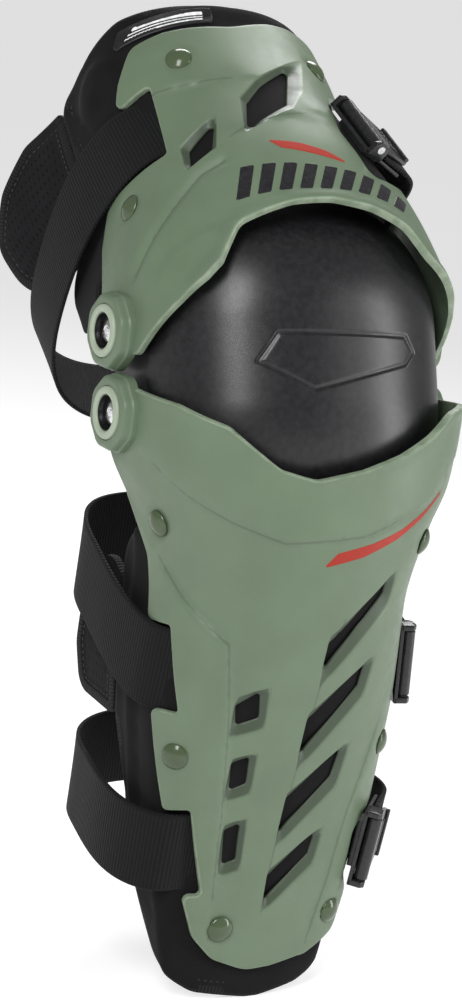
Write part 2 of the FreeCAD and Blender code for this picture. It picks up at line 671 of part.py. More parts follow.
def buckle_lever():
    """Hub on the pin and a plate that tapers towards its lifting lip."""
    half_width = STRAP_WIDTH / 2 - BUCKLE_EAR - LEVER_SIDE_GAP
    tip_half_width = half_width - LEVER_TAPER
    side = [(0, half_width), (BUCKLE_MIDDLE, half_width), (LEVER_LENGTH, tip_half_width)]
    outline = [Vector(x, y, LEVER_UNDERSIDE) for x, y in side]
    outline += [Vector(x, -y, LEVER_UNDERSIDE) for x, y in reversed(side)]
    plate = Part.Face(Part.makePolygon(outline + outline[:1])).extrude(Vector(0, 0, LEVER_THICKNESS))
    hub = cross_rod(LEVER_HUB_RADIUS, 2 * half_width)
    lip = Part.makeBox(LEVER_LIP, 2 * tip_half_width, LEVER_LIP_RISE,
                       Vector(LEVER_LENGTH - LEVER_LIP, -tip_half_width, LEVER_UNDERSIDE + LEVER_THICKNESS))
    bore = cross_rod(BUCKLE_PIN_RADIUS + RUNNING_FIT, 2 * STRAP_WIDTH)
    return plate.fuse([hub, lip]).cut(bore)


def buckle(half, strap):
    """Base, pin and lever, tangent to the face at the strap's contact distance from the pin."""
    arc, height = strap["buckle"]
    place = half.placement(arc + strap["contact"], height)
    place = place.multiply(FreeCAD.Placement(Vector(-strap["contact"], 0, 0), FreeCAD.Rotation()))
    shapes = []
    for shape in (buckle_base(), buckle_pin(), buckle_lever()):
        shape.Placement = place.multiply(shape.Placement)
        shapes.append(shape)
    return shapes


def strap(half, spec):
    band = Band(half, spec)
    edge = STRAP_WIDTH / 2
    outline = [(0, -edge, 0), (band.length, -edge, 0), (band.length, edge, 0), (0, edge, 0)]
    return trimmed_sheet(band, outline, STRAP_THICKNESS / 2, -STRAP_THICKNESS / 2)


# ---- assembly ----
def build():
    shin = Half(SHIN_STATIONS, LOWER_PIVOT, 0)
    thigh = Half(THIGH_STATIONS, UPPER_PIVOT, REST_FLEXION)
    liner_top = -SHELL - SEAT
    liner_back = liner_top - LINER
    pad_top = liner_back - SEAT
    washer_seat = liner_back - WASHER_DROP - WASHER_THICKNESS
    parts = {}

    vents = [opening(points) for points in SHIN_LEFT_VENTS + SHIN_RIGHT_VENTS]
    holes = rivet_holes(SHIN_RIVETS)
    parts["shin_shell"] = guard_shell(shin, SHIN_OUTLINE, vents + holes)
    parts["shin_liner"] = trimmed_sheet(shin, SHIN_LINER_OUTLINE, liner_top, liner_back, holes)
    parts["shin_pad"] = trimmed_sheet(shin, SHIN_PAD_OUTLINE, pad_top, pad_top - PAD)
    parts["calf_wing_left"] = trimmed_sheet(shin, CALF_WING_OUTLINE, liner_top, liner_back)
    parts["calf_wing_right"] = trimmed_sheet(shin, mirrored(CALF_WING_OUTLINE), liner_top, liner_back)
    parts["calf_strap"] = strap(shin, CALF_STRAP)
    parts["ankle_strap"] = strap(shin, ANKLE_STRAP)
    parts["shin_rivets"] = on_face(shin, SHIN_RIVETS, RIVET_LIFT, rivet())
    parts["shin_rivet_washers"] = on_face(shin, SHIN_RIVETS, washer_seat, rivet_washer())

    parts["knee_cup"] = knee_cup()
    parts["knee_pad"] = knee_pad()
    bushes = [both_sides(pivot_bush, pivot) for pivot in (LOWER_PIVOT, UPPER_PIVOT)]
    parts["knee_cup_bushes"] = Part.Compound(bushes)

    vents = [opening(points) for points in THIGH_VENTS]
    holes = rivet_holes(THIGH_RIVETS)
    parts["thigh_shell"] = guard_shell(thigh, THIGH_OUTLINE, vents + holes)
    parts["thigh_liner"] = trimmed_sheet(thigh, THIGH_LINER_OUTLINE, liner_top, liner_back, holes)
    parts["thigh_pad"] = trimmed_sheet(thigh, THIGH_PAD_OUTLINE, pad_top, pad_top - PAD)
    parts["thigh_wing_left"] = trimmed_sheet(thigh, THIGH_WING_OUTLINE, liner_top, liner_back)
    parts["thigh_wing_right"] = trimmed_sheet(thigh, mirrored(THIGH_WING_OUTLINE), liner_top, liner_back)
    parts["thigh_strap"] = strap(thigh, THIGH_STRAP)
    parts["thigh_rivets"] = on_face(thigh, THIGH_RIVETS, RIVET_LIFT, rivet())
    parts["thigh_rivet_washers"] = on_face(thigh, THIGH_RIVETS, washer_seat, rivet_washer())
    label_back = liner_top + LABEL_LIFT
    label_top = label_back + LABEL_THICKNESS
    parts["thigh_label_patch"] = trimmed_sheet(thigh, LABEL_OUTLINE, label_top, label_back)

    for name, pivot in (("lower", LOWER_PIVOT), ("upper", UPPER_PIVOT)):
        parts[name + "_pivot_pins"] = both_sides(pivot_pin, pivot)
        parts[name + "_pivot_washers"] = both_sides(pivot_washer, pivot)
        parts[name + "_pivot_rings"] = both_sides(pivot_ring, pivot)
        parts[name + "_pivot_badges"] = both_sides(pivot_badge, pivot)

    straps = [("calf", shin, CALF_STRAP), ("ankle", shin, ANKLE_STRAP), ("thigh", thigh, THIGH_STRAP)]
    for name, half, spec in straps:
        base, pin, lever = buckle(half, spec)
        parts[name + "_buckle_base"] = base
        parts[name + "_buckle_pin"] = pin
        parts[name + "_buckle_lever"] = lever
    return parts


def main():
    os.makedirs("parts", exist_ok=True)
    for name, shape in build().items():
        solids = shape.Solids
        print(f"{name:22s} solids {len(solids)} valid {shape.isValid()} volume {shape.Volume / 1000:.1f} cm3")
        shape.exportStep(f"parts/{name}.step")


main()
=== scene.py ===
import bpy
import bmesh
import json
import math
import numpy as np
from mathutils import Matrix, Vector
from mathutils.geometry import delaunay_2d_cdt


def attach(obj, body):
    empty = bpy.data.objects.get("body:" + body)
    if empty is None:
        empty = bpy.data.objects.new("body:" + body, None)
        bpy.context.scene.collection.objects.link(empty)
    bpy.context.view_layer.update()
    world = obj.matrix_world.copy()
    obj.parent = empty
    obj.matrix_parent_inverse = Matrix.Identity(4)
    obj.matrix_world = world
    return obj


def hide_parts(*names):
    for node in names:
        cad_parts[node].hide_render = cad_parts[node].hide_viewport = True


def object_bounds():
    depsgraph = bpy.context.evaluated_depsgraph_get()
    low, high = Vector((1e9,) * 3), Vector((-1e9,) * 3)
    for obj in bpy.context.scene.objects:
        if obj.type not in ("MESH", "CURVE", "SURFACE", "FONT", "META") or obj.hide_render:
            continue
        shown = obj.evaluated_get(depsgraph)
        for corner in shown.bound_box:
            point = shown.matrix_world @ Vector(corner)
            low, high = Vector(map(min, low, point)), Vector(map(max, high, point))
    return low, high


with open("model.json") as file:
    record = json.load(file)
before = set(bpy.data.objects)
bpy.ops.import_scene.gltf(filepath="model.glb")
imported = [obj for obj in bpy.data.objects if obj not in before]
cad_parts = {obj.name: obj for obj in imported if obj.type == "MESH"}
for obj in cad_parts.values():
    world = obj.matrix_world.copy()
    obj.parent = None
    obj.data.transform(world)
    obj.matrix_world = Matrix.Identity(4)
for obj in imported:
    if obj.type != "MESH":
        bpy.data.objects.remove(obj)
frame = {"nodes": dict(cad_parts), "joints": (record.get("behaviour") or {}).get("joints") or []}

# A knee and shin guard. Shapes are worked out in millimetres, in the pattern of each half: arc
# length round the leg from the front centre line, and height above the half's own pivot line.

CAD_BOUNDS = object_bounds()
MM = 0.001
JOINTS = {joint["name"]: joint for joint in frame["joints"]}
LOWER_PIVOT = np.array(JOINTS["lower_pivot"]["pos_m"]) / MM
UPPER_PIVOT = np.array(JOINTS["upper_pivot"]["pos_m"]) / MM
REST_FLEXION = math.radians(54)

SHELL = 3.0
LINER_TOP = -3.4
LINER_BACK = -6.9
PAD_BACK = -13.3
STRAP_WIDTH = 40.0
BUCKLE_MIDDLE = 12.0
BUCKLE_LENGTH = 27.0
PIN_HEIGHT = 6.0
STRAP_ON_BUCKLE = 4.2
STRAP_END = 7.5

# Stations of the halves' outer faces: height, half width, y of the widest point, y of the front,
# superellipse exponent, rear bulge.
SHIN_STATIONS = [
    (-300, 41, -38, -49, 2.2, 0),
    (-270, 46, -38, -50, 2.2, 0),
    (-240, 53, -37, -51, 2.2, 0),
    (-200, 60, -35, -54.5, 2.25, 0),
    (-160, 64, -30, -62, 2.3, 0),
    (-120, 66, -24, -70, 2.3, 0),
    (-80, 65, -14, -78, 2.3, 0),
    (-40, 74, -4, -80, 2.5, 0),
    (-22, 81.5, -1, -80, 2.6, 0),
    (0, 83, 0, -80, 2.7, 0),
    (24, 83, 0, -79, 2.8, 0),
]
THIGH_STATIONS = [
    (-30, 82.5, 0, -84, 2.4, 0),
    (0, 83, 0, -86, 2.35, 0),
    (20, 81.5, 0, -87.5, 2.32, 0),
    (36, 78, 0, -88, 2.3, 0),
    (60, 72, -2, -86, 2.25, 0),
    (90, 66, -6, -82, 2.2, 5),
    (120, 68, -12, -78, 2.25, 16),
    (165, 66, -20, -74, 2.3, 20),
]
BULGE_RUN = 80.0

# Outlines: (arc, height, corner radius).
SHIN_OUTLINE = [
    (-128, 14, 6), (-116, 14, 8), (-92, 14, 20), (-65, 9, 8), (-38, -8, 14), (-20, -12, 12),
    (4, -7, 20), (24, 0, 20), (42, 9, 14), (56, 18.5, 14), (74, 20, 14), (116, 14, 8), (128, 14, 6),
    (148, 8, 6), (148, -10, 8), (138, -24, 12), (126, -40, 14), (104, -58, 14), (92, -92, 4),
    (73, -93, 2), (65, -132, 2), (82, -134, 4), (72, -172, 10), (61, -184, 8), (49, -196, 8),
    (49, -220, 8), (55, -231, 8), (51, -250, 8), (31, -260, 6), (10, -264, 20), (-4, -265, 20),
    (-23, -258, 14), (-35, -246, 12), (-44, -224, 3), (-34, -224, 2), (-48, -179, 2),
    (-61, -181, 3), (-81, -133, 3), (-64, -132, 2), (-80, -92, 2), (-98, -94, 4),
    (-106, -64, 14), (-118, -50, 14), (-138, -24, 14), (-148, -10, 8), (-148, 8, 6),
]
THIGH_OUTLINE = [
    (-128, -21.5, 6), (-92, -20.5, 12), (-75, -18.5, 6), (-66, -15, 5), (-52, 1, 10), (-24, 6, 30),
    (-3, 7, 30), (18, 4, 20), (38, -2, 12), (48, -16, 10), (60, -18, 10), (92, -20.5, 12),
    (128, -21.5, 6), (149, -4, 18), (140, 28, 14), (113, 48, 20), (75, 40, 16), (45, 28, 6),
    (27, 26, 6), (22, 56, 10), (27, 78, 8), (36, 92, 8), (68, 110, 6), (74, 126, 8),
    (58, 142, 14), (30, 143, 20), (16, 141, 20), (-8, 134, 30), (-42, 136, 14), (-60, 135, 10),
    (-74, 120, 8), (-83, 107, 5), (-60, 108, 2), (-69, 63, 2), (-113, 70, 10), (-130, 52, 14),
    (-142, 24, 14), (-149, -4, 18),
]
SHIN_LEFT_VENTS = [
    ([(-37, -125), (-28, -118), (-25.5, -130), (-35, -134)],
     [(-38.5, -142), (-39, -119), (-23, -112), (-21, -136)]),
    ([(-32, -155), (-25, -152), (-23.5, -165), (-30, -168)],
     [(-33.5, -176), (-34, -151), (-21, -147), (-19.5, -171)]),
    ([(-27, -191), (-21, -188), (-19, -206), (-24.5, -208)],
     [(-28, -216), (-30, -186), (-17.5, -182), (-15.5, -212)]),
]
SHIN_RIGHT_VENTS = [
    ([(30, -60), (29, -67), (15, -83), (1.5, -104), (1.5, -91)],
     [(36.6, -52), (34, -74), (18, -92), (-0.5, -116), (-1, -86)]),
    ([(27, -103), (26.5, -115), (1, -149), (1, -131)],
     [(33, -95), (31, -121), (-0.5, -160), (-1.5, -126)]),
    ([(25.5, -149), (24, -164), (0.5, -192), (0.5, -174)],
     [(31, -141), (28.5, -170), (-0.8, -202), (-1.5, -169)]),
    ([(23, -195), (22, -206), (0.5, -228), (0.5, -216)],
     [(28, -188), (26, -212), (-1, -236), (-1.5, -211)]),
]
THIGH_VENTS = [
    ([(-62, 47), (-59, 57), (-43, 67), (-50, 52)],
     [(-66, 43), (-63, 61), (-38, 73), (-47, 49)]),
    ([(-28, 58), (-21, 76), (-9, 88), (13, 104), (-2, 74)],
     [(-32, 53), (-25, 79), (-11, 92), (28, 117), (12, 84), (-1, 68)]),
]
VENT_CORNER = 0.8

SHIN_LINER_OUTLINE = [
    (-50, -32, 20), (50, -32, 20), (72, -48, 12), (88, -49, 6), (94, -41, 6), (108, -41, 10),
    (136, -70, 20), (118, -150, 30), (100, -190, 30), (82, -232, 20), (64, -262, 20),
    (30, -276, 20), (4, -281, 30), (-30, -276, 20), (-60, -261, 20), (-82, -229, 20),
    (-98, -185, 30), (-118, -150, 30), (-136, -70, 20), (-108, -41, 10), (-94, -41, 6),
    (-88, -49, 6), (-72, -48, 12),
]
SHIN_PAD_OUTLINE = [
    (-48, -42, 16), (48, -42, 16), (60, -70, 14), (52, -120, 20), (48, -180, 20), (34, -226, 14),
    (0, -232, 24), (-34, -226, 14), (-48, -180, 20), (-52, -120, 20), (-60, -70, 14),
]
CALF_WING_OUTLINE = [
    (-134.4, -84, 4), (-150, -76, 16), (-170, -92, 20), (-168, -128, 18), (-158, -150, 14),
    (-120, -152, 4),
]
THIGH_LINER_OUTLINE = [
    (-60, 22, 16), (60, 22, 16), (86, 44, 14), (148, 44, 10), (150, 28, 8), (170, 26, 14),
    (172, 66, 20), (126, 96, 14), (116, 150, 10), (66, 156, 20), (0, 153, 60), (-60, 158, 20),
    (-90, 152, 10), (-116, 150, 10), (-126, 96, 14), (-172, 66, 20), (-170, 26, 14),
    (-150, 28, 8), (-148, 44, 10), (-86, 44, 14),
]
THIGH_PAD_OUTLINE = [
    (-56, 40, 16), (56, 40, 16), (66, 62, 14), (60, 104, 14), (-60, 104, 14), (-66, 62, 14),
]
THIGH_WING_OUTLINE = [
    (-117.5, 148, 3), (-146, 150, 14), (-172, 140, 20), (-194, 122, 18), (-198, 100, 16),
    (-186, 82, 14), (-160, 80, 14), (-127, 97, 3),
]
LABEL_OUTLINE = [(-70, 140, 2), (-62, 150, 2), (-12, 148.5, 2), (-14, 139.5, 2)]

SHIN_RIVETS = [(-98, -46), (60, -46), (-61, -153), (61, -151), (-21, -242), (43.5, -239)]
THIGH_RIVETS = [(-41, 116), (39, 115), (-100, 52)]

CALF_STRAP = {
    "slot": [(-84, -113.8), (-91, -113.4), (-99, -112)], "rise": [-1.0, 1.2, 2.4],
    "buckle": (76, -113), "contact": 2.0, "buckle_side": [],
    "half_width": 68, "back": 82, "back_height": -79, "squareness": 3.8}
ANKLE_STRAP = {
    "slot": [(-50, -202), (-57, -202), (-64, -202)], "rise": [-1.0, 1.2, 2.4],
    "buckle": (54, -205), "contact": 5.0, "buckle_side": [],
    "half_width": 66, "back": 75, "back_height": -192, "squareness": 2.6}
THIGH_STRAP = {
    "slot": [(-73, 86.8), (-82, 86.8), (-96, 87)], "rise": [-0.6, 2.4, 4.4],
    "buckle": (31, 58), "contact": 8.0,
    "buckle_side": [(80, 62), (98, 65)],
    "half_width": 79, "back": 112, "back_height": 60, "squareness": 3.2}


# ---- pattern space ----
def hermite(stations, height, column):
    """Smooth curve through one column of a station table, read at a height."""
    heights = [station[0] for station in stations]
    values = [station[column] for station in stations]
    index = 0
    while index < len(stations) - 2 and height > heights[index + 1]:
        index += 1
    slopes = [(values[i + 1] - values[i]) / (heights[i + 1] - heights[i]) for i in range(len(values) - 1)]
    tangents = [slopes[0]]
    for before, after in zip(slopes, slopes[1:]):
        tangents.append(0.0 if before * after <= 0 else (before + after) / 2)
    tangents.append(slopes[-1])
    span = heights[index + 1] - heights[index]
    t = min(1.0, max(0.0, (height - heights[index]) / span))
    return ((2 * t**3 - 3 * t**2 + 1) * values[index]
            + (t**3 - 2 * t**2 + t) * span * tangents[index]
            + (3 * t**2 - 2 * t**3) * values[index + 1]
            + (t**3 - t**2) * span * tangents[index + 1])


class Half:
    """One half's outer face, kept as a lattice of x and y over arc length and height."""

    HEIGHT_STEP = 1.5
    REAR_RUN = 110

    def __init__(self, stations, pivot, flexion):
        self.pivot = pivot
        self.flexion = flexion
        self.low = stations[0][0]
        count = int((stations[-1][0] - self.low) / self.HEIGHT_STEP) + 1
        rows = [self.section(stations, self.low + self.HEIGHT_STEP * i) for i in range(count + 1)]
        self.x = np.array([row[0] for row in rows])
        self.y = np.array([row[1] for row in rows])

    def section(self, stations, height):
        """x and y at every millimetre of arc length on the +X side."""
        half_width, y_wide, y_front, exponent, bulge = [
            hermite(stations, height, column) for column in range(1, 6)]
        angle = np.linspace(0, math.pi / 2, 400)
        x = half_width * np.sin(angle) ** (2 / exponent)
        y = y_wide - (y_wide - y_front) * np.maximum(0, np.cos(angle)) ** (2 / exponent)
        run = np.arange(1, self.REAR_RUN + 1)
        x = np.append(x, half_width + bulge * (1 - np.cos(math.pi * run / BULGE_RUN)) / 2)
        y = np.append(y, y_wide + run)
        length = np.append(0, np.cumsum(np.hypot(np.diff(x), np.diff(y))))
        arcs = np.arange(0, 215)
        return np.interp(arcs, length, x), np.interp(arcs, length, y)

    def local(self, arc, height):
        arc, height = np.broadcast_arrays(np.asarray(arc, float), np.asarray(height, float))
        a = np.clip(np.abs(arc), 0, self.x.shape[1] - 1.001)
        h = np.clip((height - self.low) / self.HEIGHT_STEP, 0, self.x.shape[0] - 1.001)
        i, j = a.astype(int), h.astype(int)
        u, v = a - i, h - j
        plan = [(1 - v) * ((1 - u) * table[j, i] + u * table[j, i + 1])
                + v * ((1 - u) * table[j + 1, i] + u * table[j + 1, i + 1]) for table in (self.x, self.y)]
        return np.stack([np.sign(arc) * plan[0], plan[1], height], -1)

    def normal(self, arc, height):
        step = 3.0
        along = self.local(arc + step, height) - self.local(arc - step, height)
        up = self.local(arc, height + step) - self.local(arc, height - step)
        out = np.cross(along, up)
        return out / np.linalg.norm(out, axis=-1, keepdims=True)

    def turn(self, vectors):
        c, s = math.cos(self.flexion), math.sin(self.flexion)
        x, y, z = np.moveaxis(vectors, -1, 0)
        return np.stack([x, y * c + z * s, -y * s + z * c], -1)

    def at(self, arc, height, offset=0.0):
        """Points at an offset outside the outer face, in the row frame, in mm."""
        arc, height = np.asarray(arc, float), np.asarray(height, float)
        offset = np.asarray(offset, float)[..., None]
        return self.turn(self.local(arc, height) + self.normal(arc, height) * offset) + self.pivot

    def placement(self, arc, height, offset=0.0):
        """Matrix of a frame on the face: x round the leg, y up it and z outwards, in mm."""
        outward = Vector(self.turn(self.normal(arc, height)))
        along = Vector(self.turn(self.local(arc + 3, height) - self.local(arc - 3, height)))
        up = outward.cross(along).normalized()
        along = up.cross(outward)
        matrix = Matrix((along, up, outward)).transposed().to_4x4()
        matrix.translation = Vector(self.at(arc, height, offset))
        return matrix


SHIN = Half(SHIN_STATIONS, LOWER_PIVOT, 0.0)
THIGH = Half(THIGH_STATIONS, UPPER_PIVOT, REST_FLEXION)


# ---- outlines ----
def mirrored(outline):
    return [(-arc, height, radius) for arc, height, radius in reversed(outline)]


def rounded(outline, spacing=2.0):
    """Points along a closed outline of (arc, height, corner radius), counter-clockwise."""
    corners = []
    count = len(outline)
    for index in range(count):
        point = np.array(outline[index][:2], float)
        before = np.array(outline[index - 1][:2], float) - point
        after = np.array(outline[(index + 1) % count][:2], float) - point
        room = 0.45 * min(np.linalg.norm(before), np.linalg.norm(after))
        before /= np.linalg.norm(before)
        after /= np.linalg.norm(after)
        half_angle = math.acos(max(-1, min(1, before @ after))) / 2
        cut = min(outline[index][2] / math.tan(half_angle), room) if half_angle < 1.5 else 0.0
        if cut < 0.05:
            corners.append([point])
            continue
        radius = cut * math.tan(half_angle)
        bisector = (before + after) / np.linalg.norm(before + after)
        centre = point + bisector * radius / math.sin(half_angle)
        start, end = point + before * cut, point + after * cut
        steps = max(2, int(radius * (math.pi - 2 * half_angle) / min(spacing, 1.2)))
        arc = []
        for step in range(steps + 1):
            spoke = start + (end - start) * step / steps - centre
            arc.append(centre + spoke * radius / np.linalg.norm(spoke))
        corners.append(arc)
    points = []
    for index in range(count):
        points += corners[index]
        start, end = corners[index][-1], corners[(index + 1) % count][0]
        pieces = int(np.linalg.norm(end - start) / spacing)
        points += [start + (end - start) * k / (pieces + 1) for k in range(1, pieces + 1)]
    points = np.array(points)
    following = np.roll(points, -1, axis=0)
    area = np.sum(points[:, 0] * following[:, 1] - following[:, 0] * points[:, 1])
    return points if area > 0 else points[::-1]


def polyline(points, spacing=2.0):
    """Points along an open line."""
    out = []
    for start, end in zip(points, points[1:]):
        start, end = np.array(start, float), np.array(end, float)
        pieces = max(1, int(np.linalg.norm(end - start) / spacing))
        out += [start + (end - start) * k / pieces for k in range(pieces)]
    return np.array(out + [np.array(points[-1], float)])


def side_distance(points, line, closed=False):
    """Distance of each point from a line, and +1 or -1 for the side of the nearest stretch."""
    line = np.asarray(line, float)
    ends = np.roll(line, -1, axis=0) if closed else line[1:]
    starts = line if closed else line[:-1]
    best = np.full(len(points), 1e9)
    side = np.ones(len(points))
    for start, end in zip(starts, ends):
        run = end - start
        t = np.clip((points - start) @ run / (run @ run), 0, 1)
        off = points - start - t[:, None] * run
        distance = np.hypot(off[:, 0], off[:, 1])
        nearer = distance < best - 1e-9
        cross = run[0] * (points[:, 1] - start[1]) - run[1] * (points[:, 0] - start[0])
        side[nearer] = np.where(cross[nearer] >= 0, 1.0, -1.0)
        best = np.minimum(best, distance)
    return best, side


def inside(points, loop):
    """Even-odd test of points against a closed loop."""
    result = np.zeros(len(points), bool)
    x, y = points[:, 0], points[:, 1]
    for (x0, y0), (x1, y1) in zip(loop, np.roll(loop, -1, axis=0)):
        if y0 == y1:
            continue
        crosses = (y0 > y) != (y1 > y)
        result ^= crosses & (x < (x1 - x0) * (y - y0) / (y1 - y0) + x0)
    return result


def inset_loop(loop, distance):
    """A loop moved inwards, its corners kept from crossing."""
    along = np.roll(loop, -1, axis=0) - np.roll(loop, 1, axis=0)
    along /= np.maximum(1e-9, np.linalg.norm(along, axis=1, keepdims=True))
    moved = loop + np.stack([-along[:, 1], along[:, 0]], -1) * distance
    if distance > 0:
        keep = side_distance(moved, loop, True)[0] > 0.93 * distance
        moved = moved[keep]
    return moved


def pattern_mesh(loop, holes=(), creases=(), spacing=3.0, rim=1.2):
    """Triangles inside a loop and outside its holes, with close rows along every edge."""
    loops = [loop] + [hole[::-1] for hole in holes]
    points, edges = [], []
    for line in loops:
        base = len(points)
        points += list(line)
        edges += [(base + k, base + (k + 1) % len(line)) for k in range(len(line))]
    for line in creases:
        base = len(points)
        points += list(line)
        edges += [(base + k, base + k + 1) for k in range(len(line) - 1)]
    extra = []
    for line in loops:
        along = np.roll(line, -1, axis=0) - np.roll(line, 1, axis=0)
        along /= np.linalg.norm(along, axis=1, keepdims=True)
        inward = np.stack([-along[:, 1], along[:, 0]], -1)
        extra += [(line + inward * rim * share, rim * share) for share in (0.2, 0.55, 1.0, 1.9)]
    low, high = loop.min(axis=0), loop.max(axis=0)
    grid = []
    for row, height in enumerate(np.arange(low[1], high[1], spacing * 0.87)):
        shift = spacing / 2 * (row % 2)
        grid += [(arc + shift, height) for arc in np.arange(low[0], high[0], spacing)]
    extra.append((np.array(grid), rim * 1.9 + 0.5 * spacing))
    for ring, room in extra:
        keep = inside(ring, loop)
        for hole in holes:
            keep &= ~inside(ring, hole)
        for line in loops:
            keep &= side_distance(ring, line, True)[0] > 0.85 * room
        for line in creases:
            keep &= side_distance(ring, line)[0] > 0.35 * min(spacing, 1.5)
        points += list(ring[keep])
    result = delaunay_2d_cdt([Vector(p) for p in points], edges, [], 0, 1e-4)
    verts = np.array([v[:] for v in result[0]])
    tris = np.array([face for face in result[2] if len(face) == 3])
    centres = verts[tris].mean(axis=1)
    keep = inside(centres, loop)
    for hole in holes:
        keep &= ~inside(centres, hole)
    tris = tris[keep]
    a, b, c = verts[tris[:, 0]], verts[tris[:, 1]], verts[tris[:, 2]]
    flipped = (b[:, 0] - a[:, 0]) * (c[:, 1] - a[:, 1]) - (b[:, 1] - a[:, 1]) * (c[:, 0] - a[:, 0]) < 0
    tris[flipped] = tris[flipped][:, ::-1]
    used, tris = np.unique(tris, return_inverse=True)
    return verts[used], tris.reshape(-1, 3)


# ---- mesh objects ----
def add_piece(name, points, faces, material, body, uv=None, sharp=40, replaces=(), attributes=None):
    """Mesh object from points in mm, riding on a body."""
    mesh = bpy.data.meshes.new(name)
    mesh.from_pydata((np.asarray(points) * MM).tolist(), [], [list(map(int, face)) for face in faces])
    mesh.validate()
    mesh.materials.append(material)
    if uv is not None:
        layer = mesh.uv_layers.new(name="pattern")
        index = np.zeros(len(mesh.loops), int)
        mesh.loops.foreach_get("vertex_index", index)
        layer.data.foreach_set("uv", (np.asarray(uv, float)[index] / 100).ravel())
    for key, values in (attributes or {}).items():
        attribute = mesh.attributes.new(key, "FLOAT", "POINT")
        attribute.data.foreach_set("value", np.asarray(values, np.float32))
    mesh.shade_smooth()
    mesh.set_sharp_from_angle(angle=math.radians(sharp))
    piece = bpy.data.objects.new(name, mesh)
    bpy.context.scene.collection.objects.link(piece)
    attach(piece, body)
    if replaces:
        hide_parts(*replaces)
    return piece


def rim_drop(distance, rim):
    """How far a rounded edge falls below the face at a distance from the edge."""
    near = np.clip(rim - distance, 0, rim)
    return rim - np.sqrt(np.maximum(0, rim**2 - near**2))


def mark_creases(mesh, verts, creases):
    """Makes the mesh edges that lie on a crease line sharp."""
    edges = np.empty(len(mesh.edges) * 2, int)
    mesh.edges.foreach_get("vertices", edges)
    edges = edges.reshape(-1, 2)
    on_top = (edges < len(verts)).all(axis=1)
    tight = 0.02
    for line in creases:
        on_line = np.zeros(len(mesh.vertices), bool)
        on_line[:len(verts)] = side_distance(verts, line)[0] < tight
        for index in np.flatnonzero(on_top & on_line[edges].all(axis=1)):
            middle = verts[edges[index]].mean(axis=0)[None]
            if side_distance(middle, line)[0][0] < tight:
                mesh.edges[index].use_edge_sharp = True


def sheet_piece(name, half, outline, outer, inner, material, body, holes=(), creases=(),
                relief=None, rim=1.2, soft=False, spacing=3.0, replaces=(), sharp=40, hole_rim=None,
                painted_shade=None):
    """Solid sheet between two offsets of a half's face, its edges rounded."""
    loop = outline if isinstance(outline, np.ndarray) else rounded(outline)
    verts, tris = pattern_mesh(loop, holes, creases, spacing, rim)
    edge = side_distance(verts, loop, True)[0]
    drop = rim_drop(edge, rim)
    for hole in holes:
        beside = side_distance(verts, hole, True)[0]
        drop = np.maximum(drop, rim_drop(beside, hole_rim or rim))
        edge = np.minimum(edge, beside)
    rise = relief(verts) if relief else np.zeros(len(verts))
    top = half.at(verts[:, 0], verts[:, 1], outer + rise - drop)
    back = half.at(verts[:, 0], verts[:, 1],
                   np.minimum(inner + (drop if soft else 0), outer + rise - drop - 0.3))
    count = len(verts)
    sides = {}
    for tri in tris:
        for k in range(3):
            a, b = int(tri[k]), int(tri[(k + 1) % 3])
            if (b, a) in sides:
                del sides[(b, a)]
            else:
                sides[(a, b)] = True
    faces = tris.tolist() + (tris[:, ::-1] + count).tolist()
    faces += [[b, a, a + count, b + count] for a, b in sides]
    # The last attribute holds painted shade for the material, zero where none is given.
    piece = add_piece(name, np.vstack([top, back]), faces, material, body, np.vstack([verts, verts]),
                      sharp, replaces, {"edge": np.tile(edge, 2), "rise": np.tile(rise, 2),
                                        "painted_shade": np.tile(painted_shade(verts) if painted_shade else np.zeros(len(verts)), 2)})
    mark_creases(piece.data, verts, creases)
    return piece


def tube_faces(rows, columns, closed_rows=False, closed_columns=True):
    """Quads of a grid of points that may close on itself either way."""
    faces = []
    for i in range(rows if closed_rows else rows - 1):
        for j in range(columns if closed_columns else columns - 1):
            a, b = i * columns + j, i * columns + (j + 1) % columns
            c, d = ((i + 1) % rows) * columns + (j + 1) % columns, ((i + 1) % rows) * columns + j
            faces.append([a, b, c, d])
    return faces


def joined(parts):
    """Points and faces of several (points, faces) as one mesh."""
    points, faces, base = [], [], 0
    for part_points, part_faces in parts:
        points.append(np.asarray(part_points))
        faces += [[base + k for k in face] for face in part_faces]
        base += len(part_points)
    return np.vstack(points), faces


def lathe(profile, segments=40, shape=None):
    """Points and faces turned about z from (radius, z) pairs; shape scales the radius by angle."""
    points, rings = [], []
    for radius, height in profile:
        if radius < 1e-6:
            rings.append([len(points)] * segments)
            points.append((0, 0, height))
            continue
        rings.append(list(range(len(points), len(points) + segments)))
        for k in range(segments):
            angle = 2 * math.pi * k / segments
            reach = radius * (shape(angle, radius) if shape else 1)
            points.append((reach * math.cos(angle), reach * math.sin(angle), height))
    faces = []
    for lower, upper in zip(rings, rings[1:]):
        for k in range(segments):
            face = [lower[k], lower[(k + 1) % segments], upper[(k + 1) % segments], upper[k]]
            face = [v for n, v in enumerate(face) if v not in face[:n]]
            if len(face) > 2:
                faces.append(face)
    return np.array(points, float), faces


def placed(shape, matrix):
    """Points and faces carried by a 4x4 matrix."""
    points, faces = shape
    grid = np.array(matrix)
    return points @ grid[:3, :3].T + grid[:3, 3], faces


